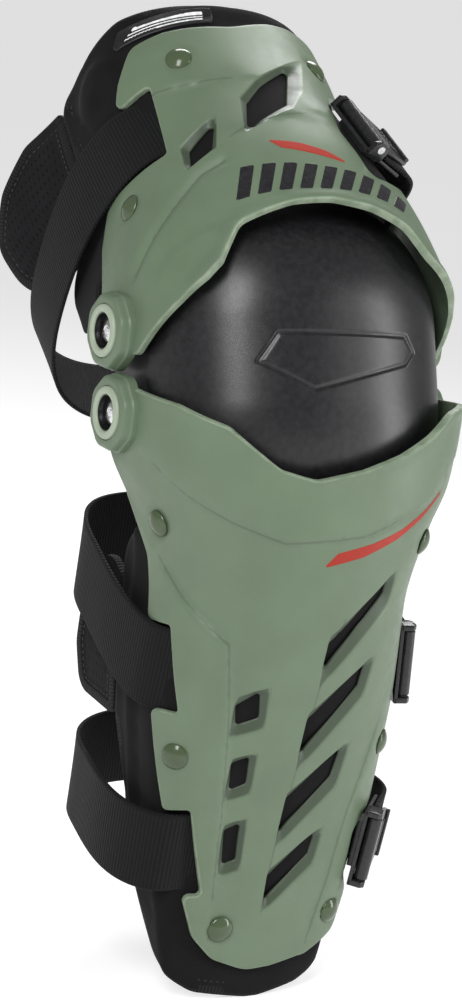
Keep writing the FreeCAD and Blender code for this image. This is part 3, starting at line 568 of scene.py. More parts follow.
def bevelled_block(outline, low, high, bevel=0.5, steps=2):
    """Prism of a counter-clockwise (x, y) outline from low to high with rounded edges."""
    loop = np.array(outline, float)
    before, after = np.roll(loop, 1, axis=0) - loop, np.roll(loop, -1, axis=0) - loop
    before /= np.linalg.norm(before, axis=1, keepdims=True)
    after /= np.linalg.norm(after, axis=1, keepdims=True)
    smooth_loop, inward = [], []
    for point, b, a in zip(loop, before, after):
        for share in (1, 0.3):
            smooth_loop.append(point + b * bevel * share)
            inward.append((b + a) / max(0.6, np.linalg.norm(b + a)))
        for share in (0.3, 1):
            smooth_loop.append(point + a * bevel * share)
            inward.append((b + a) / max(0.6, np.linalg.norm(b + a)))
    loop, inward = np.array(smooth_loop), np.array(inward)
    turn = before[:, 0] * after[:, 1] - before[:, 1] * after[:, 0]
    inward *= np.repeat(np.where(turn < 0, 1, -1), 4)[:, None]
    rings = []
    for k in range(steps + 1):
        angle = math.pi / 2 * k / steps
        rings.append((bevel * (1 - math.sin(angle)), low + bevel * (1 - math.cos(angle))))
    rings += [(inset, high - (height - low)) for inset, height in reversed(rings)]
    points = np.vstack([np.column_stack([loop + inward * inset, np.full(len(loop), height)])
                        for inset, height in rings])
    count = len(loop)
    faces = tube_faces(len(rings), count)
    faces.append(list(range(count))[::-1])
    faces.append([len(points) - count + k for k in range(count)])
    return points, faces


def rod(radius, start, end, segments=20, bevel=0.3):
    """Solid rod with chamfered ends between two points."""
    start, end = Vector(start), Vector(end)
    length = (end - start).length
    shape = lathe([(0, 0), (radius - bevel, 0), (radius, bevel), (radius, length - bevel),
                   (radius - bevel, length), (0, length)], segments)
    turn = Vector((0, 0, 1)).rotation_difference(end - start).to_matrix().to_4x4()
    turn.translation = start
    return placed(shape, turn)


def smooth(value):
    value = np.clip(value, 0, 1)
    return value * value * (3 - 2 * value)


# ---- materials ----
class Surface:
    """A node material being put together."""

    def __init__(self, name, roughness=0.5, metallic=0.0):
        self.material = bpy.data.materials.new(name)
        self.material.use_nodes = True
        self.tree = self.material.node_tree
        self.shader = self.tree.nodes["Principled BSDF"]
        self.set("Roughness", roughness)
        self.set("Metallic", metallic)

    def set(self, name, value):
        self.feed(self.shader.inputs[name], value)

    def feed(self, socket, value):
        if isinstance(value, bpy.types.NodeSocket):
            self.tree.links.new(value, socket)
        else:
            socket.default_value = value

    def node(self, kind, output=0, settings=None, **inputs):
        node = self.tree.nodes.new("ShaderNode" + kind)
        for key, value in (settings or {}).items():
            setattr(node, key, value)
        for key, value in inputs.items():
            self.feed(node.inputs[key.replace("_", " ")], value)
        return node.outputs[output]

    def place(self):
        """Position in the piece's own frame, in metres."""
        return self.node("TexCoord", "Object")

    def noise(self, size, detail=3.0):
        """Noise whose lumps are about a size in mm."""
        return self.node("TexNoise", Vector=self.place(), Scale=1 / (size * MM), Detail=detail)

    def math(self, operation, first, second=0.0):
        node = self.tree.nodes.new("ShaderNodeMath")
        node.operation = operation
        self.feed(node.inputs[0], first)
        self.feed(node.inputs[1], second)
        return node.outputs[0]

    def span(self, value, low, high, start, end):
        """A value from low to high read as start to end, and held beyond them."""
        node = self.tree.nodes.new("ShaderNodeMapRange")
        self.feed(node.inputs["Value"], value)
        for key, number in (("From Min", low), ("From Max", high), ("To Min", start), ("To Max", end)):
            node.inputs[key].default_value = number
        return node.outputs[0]

    def mix(self, share, first, second):
        node = self.tree.nodes.new("ShaderNodeMix")
        node.data_type = "RGBA"
        self.feed(node.inputs[0], share)
        for socket, colour in ((node.inputs[6], first), (node.inputs[7], second)):
            self.feed(socket, colour if isinstance(colour, bpy.types.NodeSocket) else (*colour, 1.0))
        return node.outputs[2]

    def pattern(self):
        """Pattern coordinates in mm as (along, up)."""
        uv = self.node("UVMap", settings={"uv_map": "pattern"})
        parts = self.tree.nodes.new("ShaderNodeSeparateXYZ")
        self.feed(parts.inputs[0], uv)
        return self.math("MULTIPLY", parts.outputs[0], 100.0), self.math("MULTIPLY", parts.outputs[1], 100.0)

    def wave(self, distance, pitch):
        """0 to 1 wave along a distance in mm."""
        angle = self.math("MULTIPLY", distance, 2 * math.pi / pitch)
        return self.span(self.math("SINE", angle), -1.0, 1.0, 0.0, 1.0)

    def attribute(self, name):
        return self.node("Attribute", "Fac", settings={"attribute_name": name})

    def bump(self, height, depth, before=None):
        """Bump of a depth in mm."""
        inputs = {"Height": height, "Distance": depth * MM, "Strength": 1.0}
        if before is not None:
            inputs["Normal"] = before
        return self.node("Bump", **inputs)


def moulded(name, colour, speck_and_highlight_colour, roughness, grain=0.012):
    """Moulded plastic: faint mottling, fine grain, a painted highlight along the rims and painted shade on vent
    walls and creases.
    """
    surface = Surface(name, roughness)
    cloud = surface.noise(24.0, 4.0)
    speck = surface.noise(0.9, 2.0)
    darker = tuple(c * 0.88 for c in colour)
    base = surface.mix(surface.span(cloud, 0.3, 0.7, 0.0, 1.0), darker, colour)
    base = surface.mix(surface.span(speck, 0.62, 0.8, 0.0, 0.10), base, speck_and_highlight_colour)
    # Painted highlight: the first millimetre from each rim is painted paler, in patches.
    edge = surface.attribute("edge")
    painted_edge_highlight = surface.math("MULTIPLY", surface.span(edge, 0.2, 1.1, 1.0, 0.0),
                        surface.span(surface.noise(7.0), 0.35, 0.6, 0.35, 1.0))
    base = surface.mix(surface.math("MULTIPLY", painted_edge_highlight, 0.6), base, speck_and_highlight_colour)
    # Painted shade: the vent bevel walls and the crease lines are painted darker, led by a vertex attribute.
    painted_shade_share = surface.span(surface.attribute("painted_shade"), 0.12, 0.30, 0.0, 0.85)
    base = surface.mix(painted_shade_share, base, tuple(c * 0.30 for c in colour))
    surface.shader.inputs["Specular IOR Level"].default_value = 0.4
    surface.set("Base Color", base)
    surface.set("Roughness",
                surface.span(surface.noise(5.0, 4.0), 0.3, 0.7, roughness - 0.05, roughness + 0.06))
    surface.set("Normal", surface.bump(surface.noise(0.35, 2.0), grain))
    return surface.material


def grained(name, colour, roughness, pitch=0.45, depth=0.02, metallic=0.0, coat=0.0):
    """Textured plastic or metal with an even fine grain."""
    surface = Surface(name, roughness, metallic)
    lighter = tuple(min(1.0, c * 1.6 + 0.004) for c in colour)
    surface.set("Base Color",
                surface.mix(surface.span(surface.noise(3.0, 5.0), 0.35, 0.7, 0.0, 1.0), colour, lighter))
    surface.set("Roughness",
                surface.span(surface.noise(pitch, 2.0), 0.3, 0.7, roughness - 0.07, roughness + 0.07))
    surface.set("Normal", surface.bump(surface.noise(pitch, 1.0), depth))
    surface.shader.inputs["Coat Weight"].default_value = coat
    return surface.material


def knit(name, colour, perforated=False):
    """Knit faced neoprene, with rows of punched dashes where it is perforated."""
    surface = Surface(name, 0.9)
    along, up = surface.pattern()
    loops = surface.math("MULTIPLY", surface.wave(along, 0.9), surface.wave(up, 0.7))
    fuzz = surface.noise(0.5, 3.0)
    height = surface.math("ADD", surface.math("MULTIPLY", loops, 0.6), surface.math("MULTIPLY", fuzz, 0.6))
    cloud = surface.span(surface.noise(14.0, 3.0), 0.3, 0.7, 0.0, 1.0)
    paler = tuple(c * 1.7 + 0.0012 for c in colour)
    base = surface.mix(surface.math("MULTIPLY", cloud, surface.span(height, 0.2, 0.9, 0.2, 1.0)), colour, paler)
    normal = surface.bump(height, 0.10)
    if perforated:
        row = surface.math("DIVIDE", up, 5.2)
        shift = surface.math("MULTIPLY", surface.math("FLOORED_MODULO", surface.math("FLOOR", row), 2.0), 1.65)
        column = surface.math("DIVIDE", surface.math("ADD", along, shift), 3.3)
        across = surface.math("ABSOLUTE", surface.math("SUBTRACT", surface.math("FRACT", column), 0.5))
        lengthways = surface.math("ABSOLUTE", surface.math("SUBTRACT", surface.math("FRACT", row), 0.5))
        narrow = surface.span(across, 0.10, 0.17, 1.0, 0.0)
        short = surface.span(lengthways, 0.19, 0.25, 1.0, 0.0)
        field = surface.span(surface.attribute("edge"), 8.0, 8.6, 0.0, 1.0)
        hole = surface.math("MULTIPLY", surface.math("MULTIPLY", narrow, short), field)
        base = surface.mix(hole, base, (0.0008, 0.0008, 0.001))
        normal = surface.bump(surface.math("SUBTRACT", 1.0, hole), 0.5, normal)
    surface.set("Base Color", base)
    surface.set("Normal", normal)
    surface.shader.inputs["Sheen Weight"].default_value = 0.03
    surface.shader.inputs["Sheen Roughness"].default_value = 0.45
    surface.shader.inputs["Specular IOR Level"].default_value = 0.2
    return surface.material


def webbing(name, colour):
    """Elastic webbing: ribs across the strap, a fine cross weave and a firmer edge."""
    surface = Surface(name, 0.72)
    along, up = surface.pattern()
    rib = surface.wave(along, 1.9)
    weave = surface.wave(surface.math("ADD", up, surface.math("MULTIPLY", along, 0.35)), 0.8)
    fuzz = surface.noise(0.4, 2.0)
    height = surface.math("ADD", surface.math("MULTIPLY", rib, 0.75), surface.math("MULTIPLY", weave, 0.3))
    height = surface.math("ADD", height, surface.math("MULTIPLY", fuzz, 0.2))
    edge = surface.math("ABSOLUTE", up)
    selvage = surface.span(edge, 18.2, 18.6, 0.0, 1.0)
    height = surface.mix(selvage, height, surface.node("CombineColor", Red=weave, Green=weave, Blue=weave))
    # Painted highlight: the rib tops are painted paler, as thread glints.
    paler = tuple(c * 3.0 + 0.002 for c in colour)
    surface.set("Base Color", surface.mix(surface.span(height, 0.45, 1.15, 0.0, 1.0), colour, paler))
    surface.set("Normal", surface.bump(height, 0.32))
    surface.shader.inputs["Sheen Weight"].default_value = 0.02
    surface.shader.inputs["Specular IOR Level"].default_value = 0.2
    return surface.material


GREEN = (0.138, 0.192, 0.122)
PALE_GREEN = (0.34, 0.41, 0.30)
shell_green = moulded("shell_green_plastic", GREEN, PALE_GREEN, 0.42)
ring_green = moulded("ring_green_plastic", (0.36, 0.43, 0.32), (0.50, 0.56, 0.46), 0.36)
rivet_olive = moulded("rivet_olive_gloss", (0.075, 0.105, 0.055), (0.15, 0.2, 0.11), 0.16, 0.004)
cup_black = grained("cup_black_grained", (0.0075, 0.0072, 0.0085), 0.36, 0.42, 0.030)
neoprene = knit("neoprene_knit", (0.0045, 0.0042, 0.0048))
perforated = knit("neoprene_perforated", (0.006, 0.0055, 0.0065), True)
foam = knit("foam_knit", (0.012, 0.012, 0.013))
strap_black = webbing("webbing_ribbed", (0.0028, 0.0028, 0.0031))
tape_black = webbing("binding_tape", (0.0040, 0.0038, 0.0044))
thread = grained("stitch_thread", (0.02, 0.02, 0.022), 0.7, 0.3, 0.05)
buckle_black = grained("buckle_plastic", (0.010, 0.010, 0.011), 0.30, 0.5, 0.006)
buckle_grey = grained("buckle_grey_plastic", (0.085, 0.085, 0.092), 0.28, 0.5, 0.006)
steel = grained("steel_turned", (0.50, 0.50, 0.52), 0.26, 0.3, 0.006, 1.0)
silver = grained("badge_brushed_silver", (0.62, 0.62, 0.64), 0.22, 0.5, 0.01, 1.0)
badge_black = grained("badge_black", (0.004, 0.004, 0.0045), 0.32, 0.5, 0.004)
nylon = grained("nylon_dark", (0.012, 0.012, 0.012), 0.5, 0.6, 0.01)
print_red = moulded("print_red", (0.36, 0.016, 0.003), (0.36, 0.016, 0.003), 0.5, 0.004)
print_black = grained("print_black_gloss", (0.012, 0.012, 0.014), 0.24, 0.6, 0.004)
print_white = grained("print_white", (0.62, 0.63, 0.62), 0.4, 0.6, 0.006)
patch_black = grained("patch_rubber", (0.007, 0.007, 0.008), 0.42, 0.6, 0.012)


# ---- relief of the moulded shells, in mm above the plain face ----
def corners_only(points, radius=VENT_CORNER):
    return rounded([(arc, height, radius) for arc, height in points], 2.0)


def crease(points, line, height, run=14.0, width=0.9):
    """A step, high on the left of the line, that dies away over a run and towards both ends."""
    distance, side = side_distance(points, line)
    ends = np.minimum(np.hypot(*(points - line[0]).T), np.hypot(*(points - line[-1]).T))
    step = smooth(side * distance / width * 0.5 + 0.5) - 0.5
    return height * smooth(ends / 12) * step * np.exp(-distance / run)


def vent_bevel(points, outer, hole, depth):
    """Faces that slope down from the bevel's outline to the vent's edge."""
    outside, inner = side_distance(points, outer, True)[0], side_distance(points, hole, True)[0]
    within = inside(points, outer) | inside(points, hole)
    return -depth * np.where(within, outside / (outside + inner + 1e-6), 0)


def near_line(points, line, reach, height):
    """A soft ridge or, with a negative height, a groove along a line."""
    distance = side_distance(points, line)[0]
    return height * smooth(1 - distance / reach)


def lip(points, line, width, height):
    """A raised band beside an edge."""
    distance = side_distance(points, line)[0]
    ends = np.minimum(np.hypot(*(points - line[0]).T), np.hypot(*(points - line[-1]).T))
    return height * smooth((width - distance) / 1.4 + 0.5) * smooth(ends / 14)


def dimples(points, spots, radius, depth):
    """Shallow round seats under the rivets."""
    total = np.zeros(len(points))
    for spot in spots:
        distance = np.hypot(*(points - np.array(spot, float)).T)
        total -= depth * smooth((radius - distance) / 1.0)
    return total


RIM_STEP = polyline([(-102, -16), (-79, -27), (-57, -35), (-31, -42), (9, -38), (46, -24), (62, -12)], 3.0)
PANEL_STEP = polyline([(-96, -62), (-78, -76), (-48, -94), (-41, -125), (-32, -183), (-28, -226)], 3.0)
KEEL = polyline([(6, -78), (1, -110), (-1, -234)], 3.0)
RIGHT_CREASE = polyline([(49.5, -134), (40, -184), (36.5, -220), (29.5, -254)], 3.0)
SHIN_TOP = polyline([(-116, 14), (-92, 14), (-65, 9), (-38, -8), (-20, -12), (4, -7), (24, 0), (42, 9),
                     (56, 18.5), (74, 20), (116, 14)], 3.0)
THIGH_ARCH = polyline([(-92, -20.5), (-66, -15), (-52, 1), (-24, 6), (-3, 7), (18, 4), (38, -2),
                       (48, -16), (60, -18), (92, -20.5)], 3.0)
THIGH_GROOVE = polyline([(-47, 40), (-60, 38), (-75, 30), (-92, 22), (-112, 12)], 3.0)
THIGH_FOLDS = [polyline([(-61, 103), (-40, 97), (-22, 94)], 3.0),
               polyline([(-39, 53), (-24, 60), (6, 66)], 3.0)]
THIGH_FLANK = polyline([(-52, 1), (-70, 6), (-88, 4), (-108, -6)], 3.0)


def vent_shapes(vents):
    grown = -0.7
    return [(inset_loop(corners_only(hole), grown), corners_only(outer, 1.2)) for hole, outer in vents]


def bevels(points, vents, depth):
    total = np.zeros(len(points))
    for hole, outer in vents:
        total += vent_bevel(points, outer, hole, depth)
    return total


def shin_relief(points):
    keel = side_distance(points, KEEL)[0]
    centre = 1.3 * np.maximum(0, 1 - keel / 17) * smooth((-points[:, 1] - 66) / 30)
    return (crease(points, RIM_STEP, 1.7, 18) + crease(points, PANEL_STEP, -2.0, 20)
            + crease(points, RIGHT_CREASE, 1.2, 12) + centre + lip(points, SHIN_TOP, 3.4, 0.55)
            + bevels(points, SHIN_VENTS, 2.4) + dimples(points, SHIN_RIVETS, 8.2, 0.6))


def thigh_relief(points):
    folds = sum(crease(points, line, 1.1, 14) for line in THIGH_FOLDS)
    return (folds + near_line(points, THIGH_GROOVE, 4.2, -1.7) + crease(points, THIGH_FLANK, 0.7, 16)
            + lip(points, THIGH_ARCH, 4.6, 0.8) + bevels(points, THIGH_VENT_SHAPES, 2.4)
            + dimples(points, THIGH_RIVETS, 8.2, 0.6))


SHIN_VENTS = vent_shapes(SHIN_LEFT_VENTS + SHIN_RIGHT_VENTS)
THIGH_VENT_SHAPES = vent_shapes(THIGH_VENTS)


def guard_shell(name, half, outline, vents, creases, relief, body, node):
    """Moulded shell: rounded rims, bevelled vents, creases."""
    # Painted shade for the material: dark lines along the creases and dark vent bevel walls.
    def painted_shade(points):
        steps = sum(near_line(points, line, 1.5, 0.21) for line in creases)
        return steps - bevels(points, vents, 1.0)

    lines = list(creases) + [np.vstack([outer, outer[:1]]) for hole, outer in vents]
    return sheet_piece(name, half, outline, 0.0, -SHELL, shell_green, body,
                       [hole for hole, outer in vents], lines, relief, 1.1, spacing=2.6,
                       replaces=[node], sharp=52, hole_rim=0.35, painted_shade=painted_shade)


guard_shell("shin_shell_moulding", SHIN, SHIN_OUTLINE, SHIN_VENTS, [RIM_STEP, PANEL_STEP, RIGHT_CREASE, KEEL],
            shin_relief, "shin", "shin_shell")
guard_shell("thigh_shell_moulding", THIGH, THIGH_OUTLINE, THIGH_VENT_SHAPES, THIGH_FOLDS + [THIGH_GROOVE],
            thigh_relief, "thigh", "thigh_shell")

# ---- pivot bosses, rings, badges ----
def on_pivot(pivot, side):
    """Matrix whose z runs outwards along a pivot line."""
    axes = ((0, 1, 0), (0, 0, 1), (1, 0, 0)) if side > 0 else ((0, 0, 1), (0, 1, 0), (-1, 0, 0))
    matrix = Matrix(axes).transposed().to_4x4()
    matrix.translation = Vector(pivot)
    return matrix


def octagon(angle, radius):
    """Scale of a radius that turns a circle into an octagon with rounded corners."""
    boss_flats, boss_radius = 17.9, 18.7
    if radius < 15:
        return 1.0
    off_flat = (angle + math.pi / 8) % (math.pi / 4) - math.pi / 8
    return min(boss_flats / math.cos(off_flat), boss_radius) / boss_radius


BOSS_PROFILE = [
    (4.2, 84.0), (8.55, 84.0), (8.6, 85.0), (12.45, 85.0), (12.6, 85.2), (12.6, 89.6), (12.9, 89.9),
    (13.3, 90.0), (15.6, 90.0), (16.5, 89.8), (17.2, 89.3), (17.6, 88.6), (18.0, 86.6), (18.2, 85.6),
    (18.7, 85.0), (18.8, 84.2), (18.8, 80.8), (4.2, 80.8)]
RING_PROFILE = [
    (8.6, 85.05), (8.6, 90.3), (8.8, 90.8), (9.2, 91.1), (9.8, 91.2), (11.3, 91.2), (12.0, 90.9),
    (12.35, 90.4), (12.45, 89.8), (12.45, 85.05)]
BADGE_FOOT = [(0, 85.1), (8.5, 85.1), (8.5, 90.0), (8.1, 90.0), (7.9, 89.4), (7.7, 86.6), (0, 86.6)]
BADGE_FACE = [
    (0, 88.3), (1.6, 88.25), (1.9, 87.9), (2.4, 87.9), (2.7, 88.2), (4.6, 87.8), (5.4, 87.3), (5.6, 86.9),
    (5.6, 86.5), (0, 86.5)]


def turned_profile(profile, pivot, side, segments=96, shape=None):
    """Closed ring or solid turned about a pivot line, outward faces outermost."""
    points, faces = lathe(profile + profile[:1] if profile[0][0] > 0 else profile, segments, shape)
    if profile[0][0] > 0:
        last = len(points) - segments
        faces = [[v - last if v >= last else v for v in face] for face in faces]
        points = points[:last]
    return placed((points, faces), on_pivot(pivot, side))


def recalculated(piece):
    """Turns every face of a closed mesh outwards."""
    work = bmesh.new()
    work.from_mesh(piece.data)
    bmesh.ops.recalc_face_normals(work, faces=work.faces)
    work.to_mesh(piece.data)
    work.free()
    return piece


def solid_piece(name, shapes, material, body, replaces=(), sharp=40):
    points, faces = joined(shapes)
    uv = points[:, [0, 2]]
    far_from_edges = {"edge": np.full(len(points), 5.0)}
    return recalculated(add_piece(name, points, faces, material, body, uv, sharp, replaces,
                                  far_from_edges))


def pivot_parts(name, pivot, body):
    sides = (-1, 1)
    solid_piece(name + "_bosses", [turned_profile(BOSS_PROFILE, pivot, side, 96, octagon) for side in sides],
                shell_green, body, sharp=30)
    solid_piece(name + "_boss_rings", [turned_profile(RING_PROFILE, pivot, side) for side in sides],
                ring_green, body, [name + "_pivot_rings"], 50)
    solid_piece(name + "_badge_backs", [turned_profile(BADGE_FOOT, pivot, side, 64) for side in sides],
                badge_black, body)
    solid_piece(name + "_badge_faces", [turned_profile(BADGE_FACE, pivot, side, 64) for side in sides],
                silver, body, [name + "_pivot_badges"], 25)


pivot_parts("lower", LOWER_PIVOT, "shin")
pivot_parts("upper", UPPER_PIVOT, "thigh")


# ---- knee cup and its pad: a profile turned about the lower pivot, drawn straight, turned again ----
CUP_HALF_WIDTH, CUP_RADIUS, CUP_ROUNDNESS, CUP_FLAT = 77.0, 71.0, 2.4, 76.1
CUP_LEAN = math.atan2(UPPER_PIVOT[1] - LOWER_PIVOT[1], UPPER_PIVOT[2] - LOWER_PIVOT[2])
CUP_RISE = float(np.linalg.norm(UPPER_PIVOT - LOWER_PIVOT))
CUP_LOW = CUP_RADIUS * (math.radians(-54) - CUP_LEAN)
CUP_HIGH = CUP_RISE + CUP_RADIUS * (math.radians(112) - CUP_LEAN)
EAR_RADIUS = 15.5


def cup_row(sweep):
    """Centre and forward direction of the profile at an arc length up the cup's front."""
    turn = min(sweep, 0) + max(sweep - CUP_RISE, 0)
    angle = CUP_LEAN + turn / CUP_RADIUS
    centre = LOWER_PIVOT + (UPPER_PIVOT - LOWER_PIVOT) * min(max(sweep / CUP_RISE, 0), 1)
    return centre, np.array([0, -math.cos(angle), math.sin(angle)])


def cup_columns(inset, widest, fine):
    """(x, reach) across the profile; fine is the spacing over its front."""
    half_width, radius, flat = CUP_HALF_WIDTH - inset, CUP_RADIUS - inset, CUP_FLAT - inset
    front = 54.0
    across = list(np.arange(0, min(front, widest), fine))
    if widest > front:
        start = math.asin((front / half_width) ** (CUP_ROUNDNESS / 2))
        last = math.asin((flat / half_width) ** (CUP_ROUNDNESS / 2))
        across += [half_width * math.sin(a) ** (2 / CUP_ROUNDNESS) for a in np.linspace(start, last, 22)]
    else:
        across.append(widest)
    columns = [(x, radius * max(0, 1 - (x / half_width) ** CUP_ROUNDNESS) ** (1 / CUP_ROUNDNESS)) for x in across]
    if widest > front:
        columns += [(flat, columns[-1][1] * share) for share in np.linspace(0.9, 0.04, 10)]
    return [(-x, reach) for x, reach in columns[:0:-1]] + columns


def cup_face(rows, columns, change):
    """Grid of points; change gives how far each stands proud of the profile."""
    grid = np.empty((len(rows), len(columns), 3))
    x = np.array([column[0] for column in columns])
    reach = np.array([column[1] for column in columns])
    for i, sweep in enumerate(rows):
        centre, forward = cup_row(sweep)
        proud = change(x, np.full(len(x), sweep)) * smooth(reach / 30)
        grid[i] = centre + np.column_stack([x, np.zeros((len(x), 2))]) + (reach + proud)[:, None] * forward
    return grid


def closed_grids(outer, inner):
    """Two grids of the same size joined round their four edges."""
    rows, columns = outer.shape[:2]
    count = rows * columns
    faces = tube_faces(rows, columns, closed_columns=False)
    faces += [[v + count for v in face[::-1]] for face in faces]
    border = [(0, j) for j in range(columns)] + [(i, columns - 1) for i in range(1, rows)]
    border += [(rows - 1, j) for j in range(columns - 2, -1, -1)] + [(i, 0) for i in range(rows - 2, 0, -1)]
    ring = [i * columns + j for i, j in border]
    for a, b in zip(ring, ring[1:] + ring[:1]):
        faces.append([b, a, a + count, b + count])
    return np.vstack([outer.reshape(-1, 3), inner.reshape(-1, 3)]), faces


FIGURE = polyline([(-44, 17), (-35, 30), (33, 30), (38, 23), (32, 17), (-19, 4), (-44, 17)], 2.0)


def cup_change(x, sweep):
    """Pressed line figure on the front and rounded rims at the low and high edges."""
    points = np.column_stack([x, sweep])
    groove = -0.8 * smooth(1 - side_distance(points, FIGURE)[0] / 1.7)
    rim = rim_drop(np.minimum(sweep - CUP_LOW, CUP_HIGH - sweep), 1.4)
    return groove - rim


CUP_RIM_ROWS = 3
CUP_ROW_STEP = 2.6
CUP_FIGURE_TOP = 34


def cup_rows(fine):
    """Heights of the cup's rows: closest at both rims, and fine apart over the figure."""
    rim = [0, 0.15, 0.5, 1.0, 1.6]
    below = list(np.arange(CUP_LOW + CUP_RIM_ROWS, 0, CUP_ROW_STEP))
    figure = list(np.arange(0, CUP_FIGURE_TOP, fine))
    above = list(np.arange(CUP_FIGURE_TOP, CUP_HIGH - CUP_RIM_ROWS, CUP_ROW_STEP))
    return [CUP_LOW + r for r in rim] + below + figure + above + [CUP_HIGH - r for r in reversed(rim)]


def ear_plate(side):
    """Plate round both pivots on one side, just inside the cup's flat."""
    loop = []
    for pivot, start in ((LOWER_PIVOT, math.pi), (UPPER_PIVOT, 0)):
        for k in range(25):
            angle = start - CUP_LEAN + math.pi * k / 24
            loop.append((pivot[1] + EAR_RADIUS * math.cos(angle), pivot[2] + EAR_RADIUS * math.sin(angle)))
    points, faces = bevelled_block(loop, CUP_FLAT - SHELL, CUP_FLAT - 0.06, 0.4)
    points = points[:, [2, 0, 1]]
    points[:, 0] *= side
    return points, faces


def knee_cup():
    rows = cup_rows(0.55)
    outer = cup_face(rows, cup_columns(0, 100, 0.6), cup_change)
    inner = cup_face(rows, cup_columns(SHELL, 100, 0.6), lambda x, sweep: np.zeros(len(x)))
    shape = closed_grids(outer, inner)
    return solid_piece("knee_cup_moulding", [shape, ear_plate(-1), ear_plate(1)], cup_black, "knee_cup",
                       ["knee_cup"], 35)


def quilt(points, lines, reach=4.0, depth=1.6):
    """Sewn channels pressed into a pad."""
    total = np.zeros(len(points))
    for line in lines:
        total = np.minimum(total, -depth * smooth(1 - side_distance(points, line)[0] / reach))
    return total


def knee_pad():
    """Foam pad behind the cup, crowned between its sewn channels."""
    top, back, half_width = 3.5, 9.3, 59.0
    low, high = CUP_LOW + 8, CUP_HIGH - 8
    rows = [low, low + 0.4, low + 1.5, low + 3] + list(np.arange(low + 5, high - 4, 2.4))
    rows += [high - 3, high - 1.5, high - 0.4, high]
    channels = [polyline([(-60, v), (60, v)], 4.0) for v in (-40, 0, 38, 78)]
    channels += [polyline([(x, -90), (x, 140)], 4.0) for x in (-22, 22)]

    def edges(x, sweep):
        side = np.minimum(np.minimum(sweep - low, high - sweep), half_width - np.abs(x))
        return rim_drop(np.maximum(side, 0), 2.8)

    def front(x, sweep):
        return -edges(x, sweep)

    def rear(x, sweep):
        return edges(x, sweep) - quilt(np.column_stack([x, sweep]), channels)

    outer = cup_face(rows, cup_columns(top, half_width, 1.9), front)
    inner = cup_face(rows, cup_columns(back, half_width, 1.9), rear)
    points, faces = closed_grids(outer, inner)
    sweep = np.repeat(rows, outer.shape[1])
    uv = np.column_stack([outer[..., 0].ravel(), sweep])
    piece = add_piece("knee_pad_foam", points, faces, foam, "knee_cup", np.vstack([uv, uv]), 60,
                      ["knee_pad"], {"edge": np.full(len(points), 5.0)})
    recalculated(piece)


knee_cup()
knee_pad()


# ---- liners, wings and pads ----
def even_steps(loop, step):
    """Points at even steps round a closed loop, with the loop's directions there."""
    closed = np.vstack([loop, loop[:1]])
    length = np.append(0, np.cumsum(np.hypot(*np.diff(closed, axis=0).T)))
    count = max(8, int(length[-1] / step))
    at = np.arange(count) * length[-1] / count
    points = np.column_stack([np.interp(at, length, closed[:, k]) for k in (0, 1)])
    ahead = np.column_stack([np.interp((at + 0.5) % length[-1], length, closed[:, k]) for k in (0, 1)])
    along = ahead - points
    return points, along / np.maximum(1e-9, np.linalg.norm(along, axis=1, keepdims=True))


def binding(name, half, outline, top, bottom, body):
    """Tape folded over an edge: a flattened loop of section swept round the outline."""
    width, proud = 5.0, 0.4
    loop, along = even_steps(rounded(outline), 2.0)
    inward = np.stack([-along[:, 1], along[:, 0]], -1)
    section = [(width, top + 0.05), (width - 0.3, top + proud * 0.7), (width - 1, top + proud),
               (0.8, top + proud), (-0.2, top + 0.1), (-0.5, (top + bottom) / 2), (-0.2, bottom - 0.1),
               (0.8, bottom - proud), (width - 1, bottom - proud), (width - 0.3, bottom - proud * 0.7),
               (width, bottom - 0.05)]
    points, uv = [], []
    for k, (place, direction) in enumerate(zip(loop, inward)):
        for inset, offset in section:
            spot = place + direction * inset
            points.append(half.at(spot[0], spot[1], offset))
            uv.append((k * 2.0, inset))
    faces = tube_faces(len(loop), len(section), closed_rows=True)
    piece = add_piece(name, np.array(points), faces, tape_black, body, uv, 60)
    recalculated(piece)


def stitch_row(name, half, loop, lift, body, pitch=3.4):
    """Short thread stitches standing on a face along a closed loop."""
    places, along = even_steps(loop, pitch)
    length, thick = pitch * 0.62, 0.32
    ring = [(math.cos(math.pi * k / 3), math.sin(math.pi * k / 3)) for k in range(6)]
    shapes = []
    for place, direction in zip(places, along):
        start, end = place - direction * length / 2, place + direction * length / 2
        stations = [(0, 0.3), (0.25, 1), (0.75, 1), (1, 0.3)]
        side = np.array([-direction[1], direction[0]])
        points = []
        for share, girth in stations:
            spot = start + (end - start) * share
            for across, up in ring:
                off = spot + side * across * thick * girth
                points.append(half.at(off[0], off[1], lift + up * thick * girth))
        faces = tube_faces(4, 6) + [[5, 4, 3, 2, 1, 0], [18, 19, 20, 21, 22, 23]]
        shapes.append((np.array(points), faces))
    solid_piece(name, shapes, thread, body, sharp=60)


def bulge(points, centre, radii, height, tilt=0.0):
    """Smooth padded swelling."""
    c, s = math.cos(math.radians(tilt)), math.sin(math.radians(tilt))
    x, y = (points - np.array(centre, float)).T
    distance = np.hypot((x * c + y * s) / radii[0], (-x * s + y * c) / radii[1])
    return height * smooth((1 - distance) * 1.6)


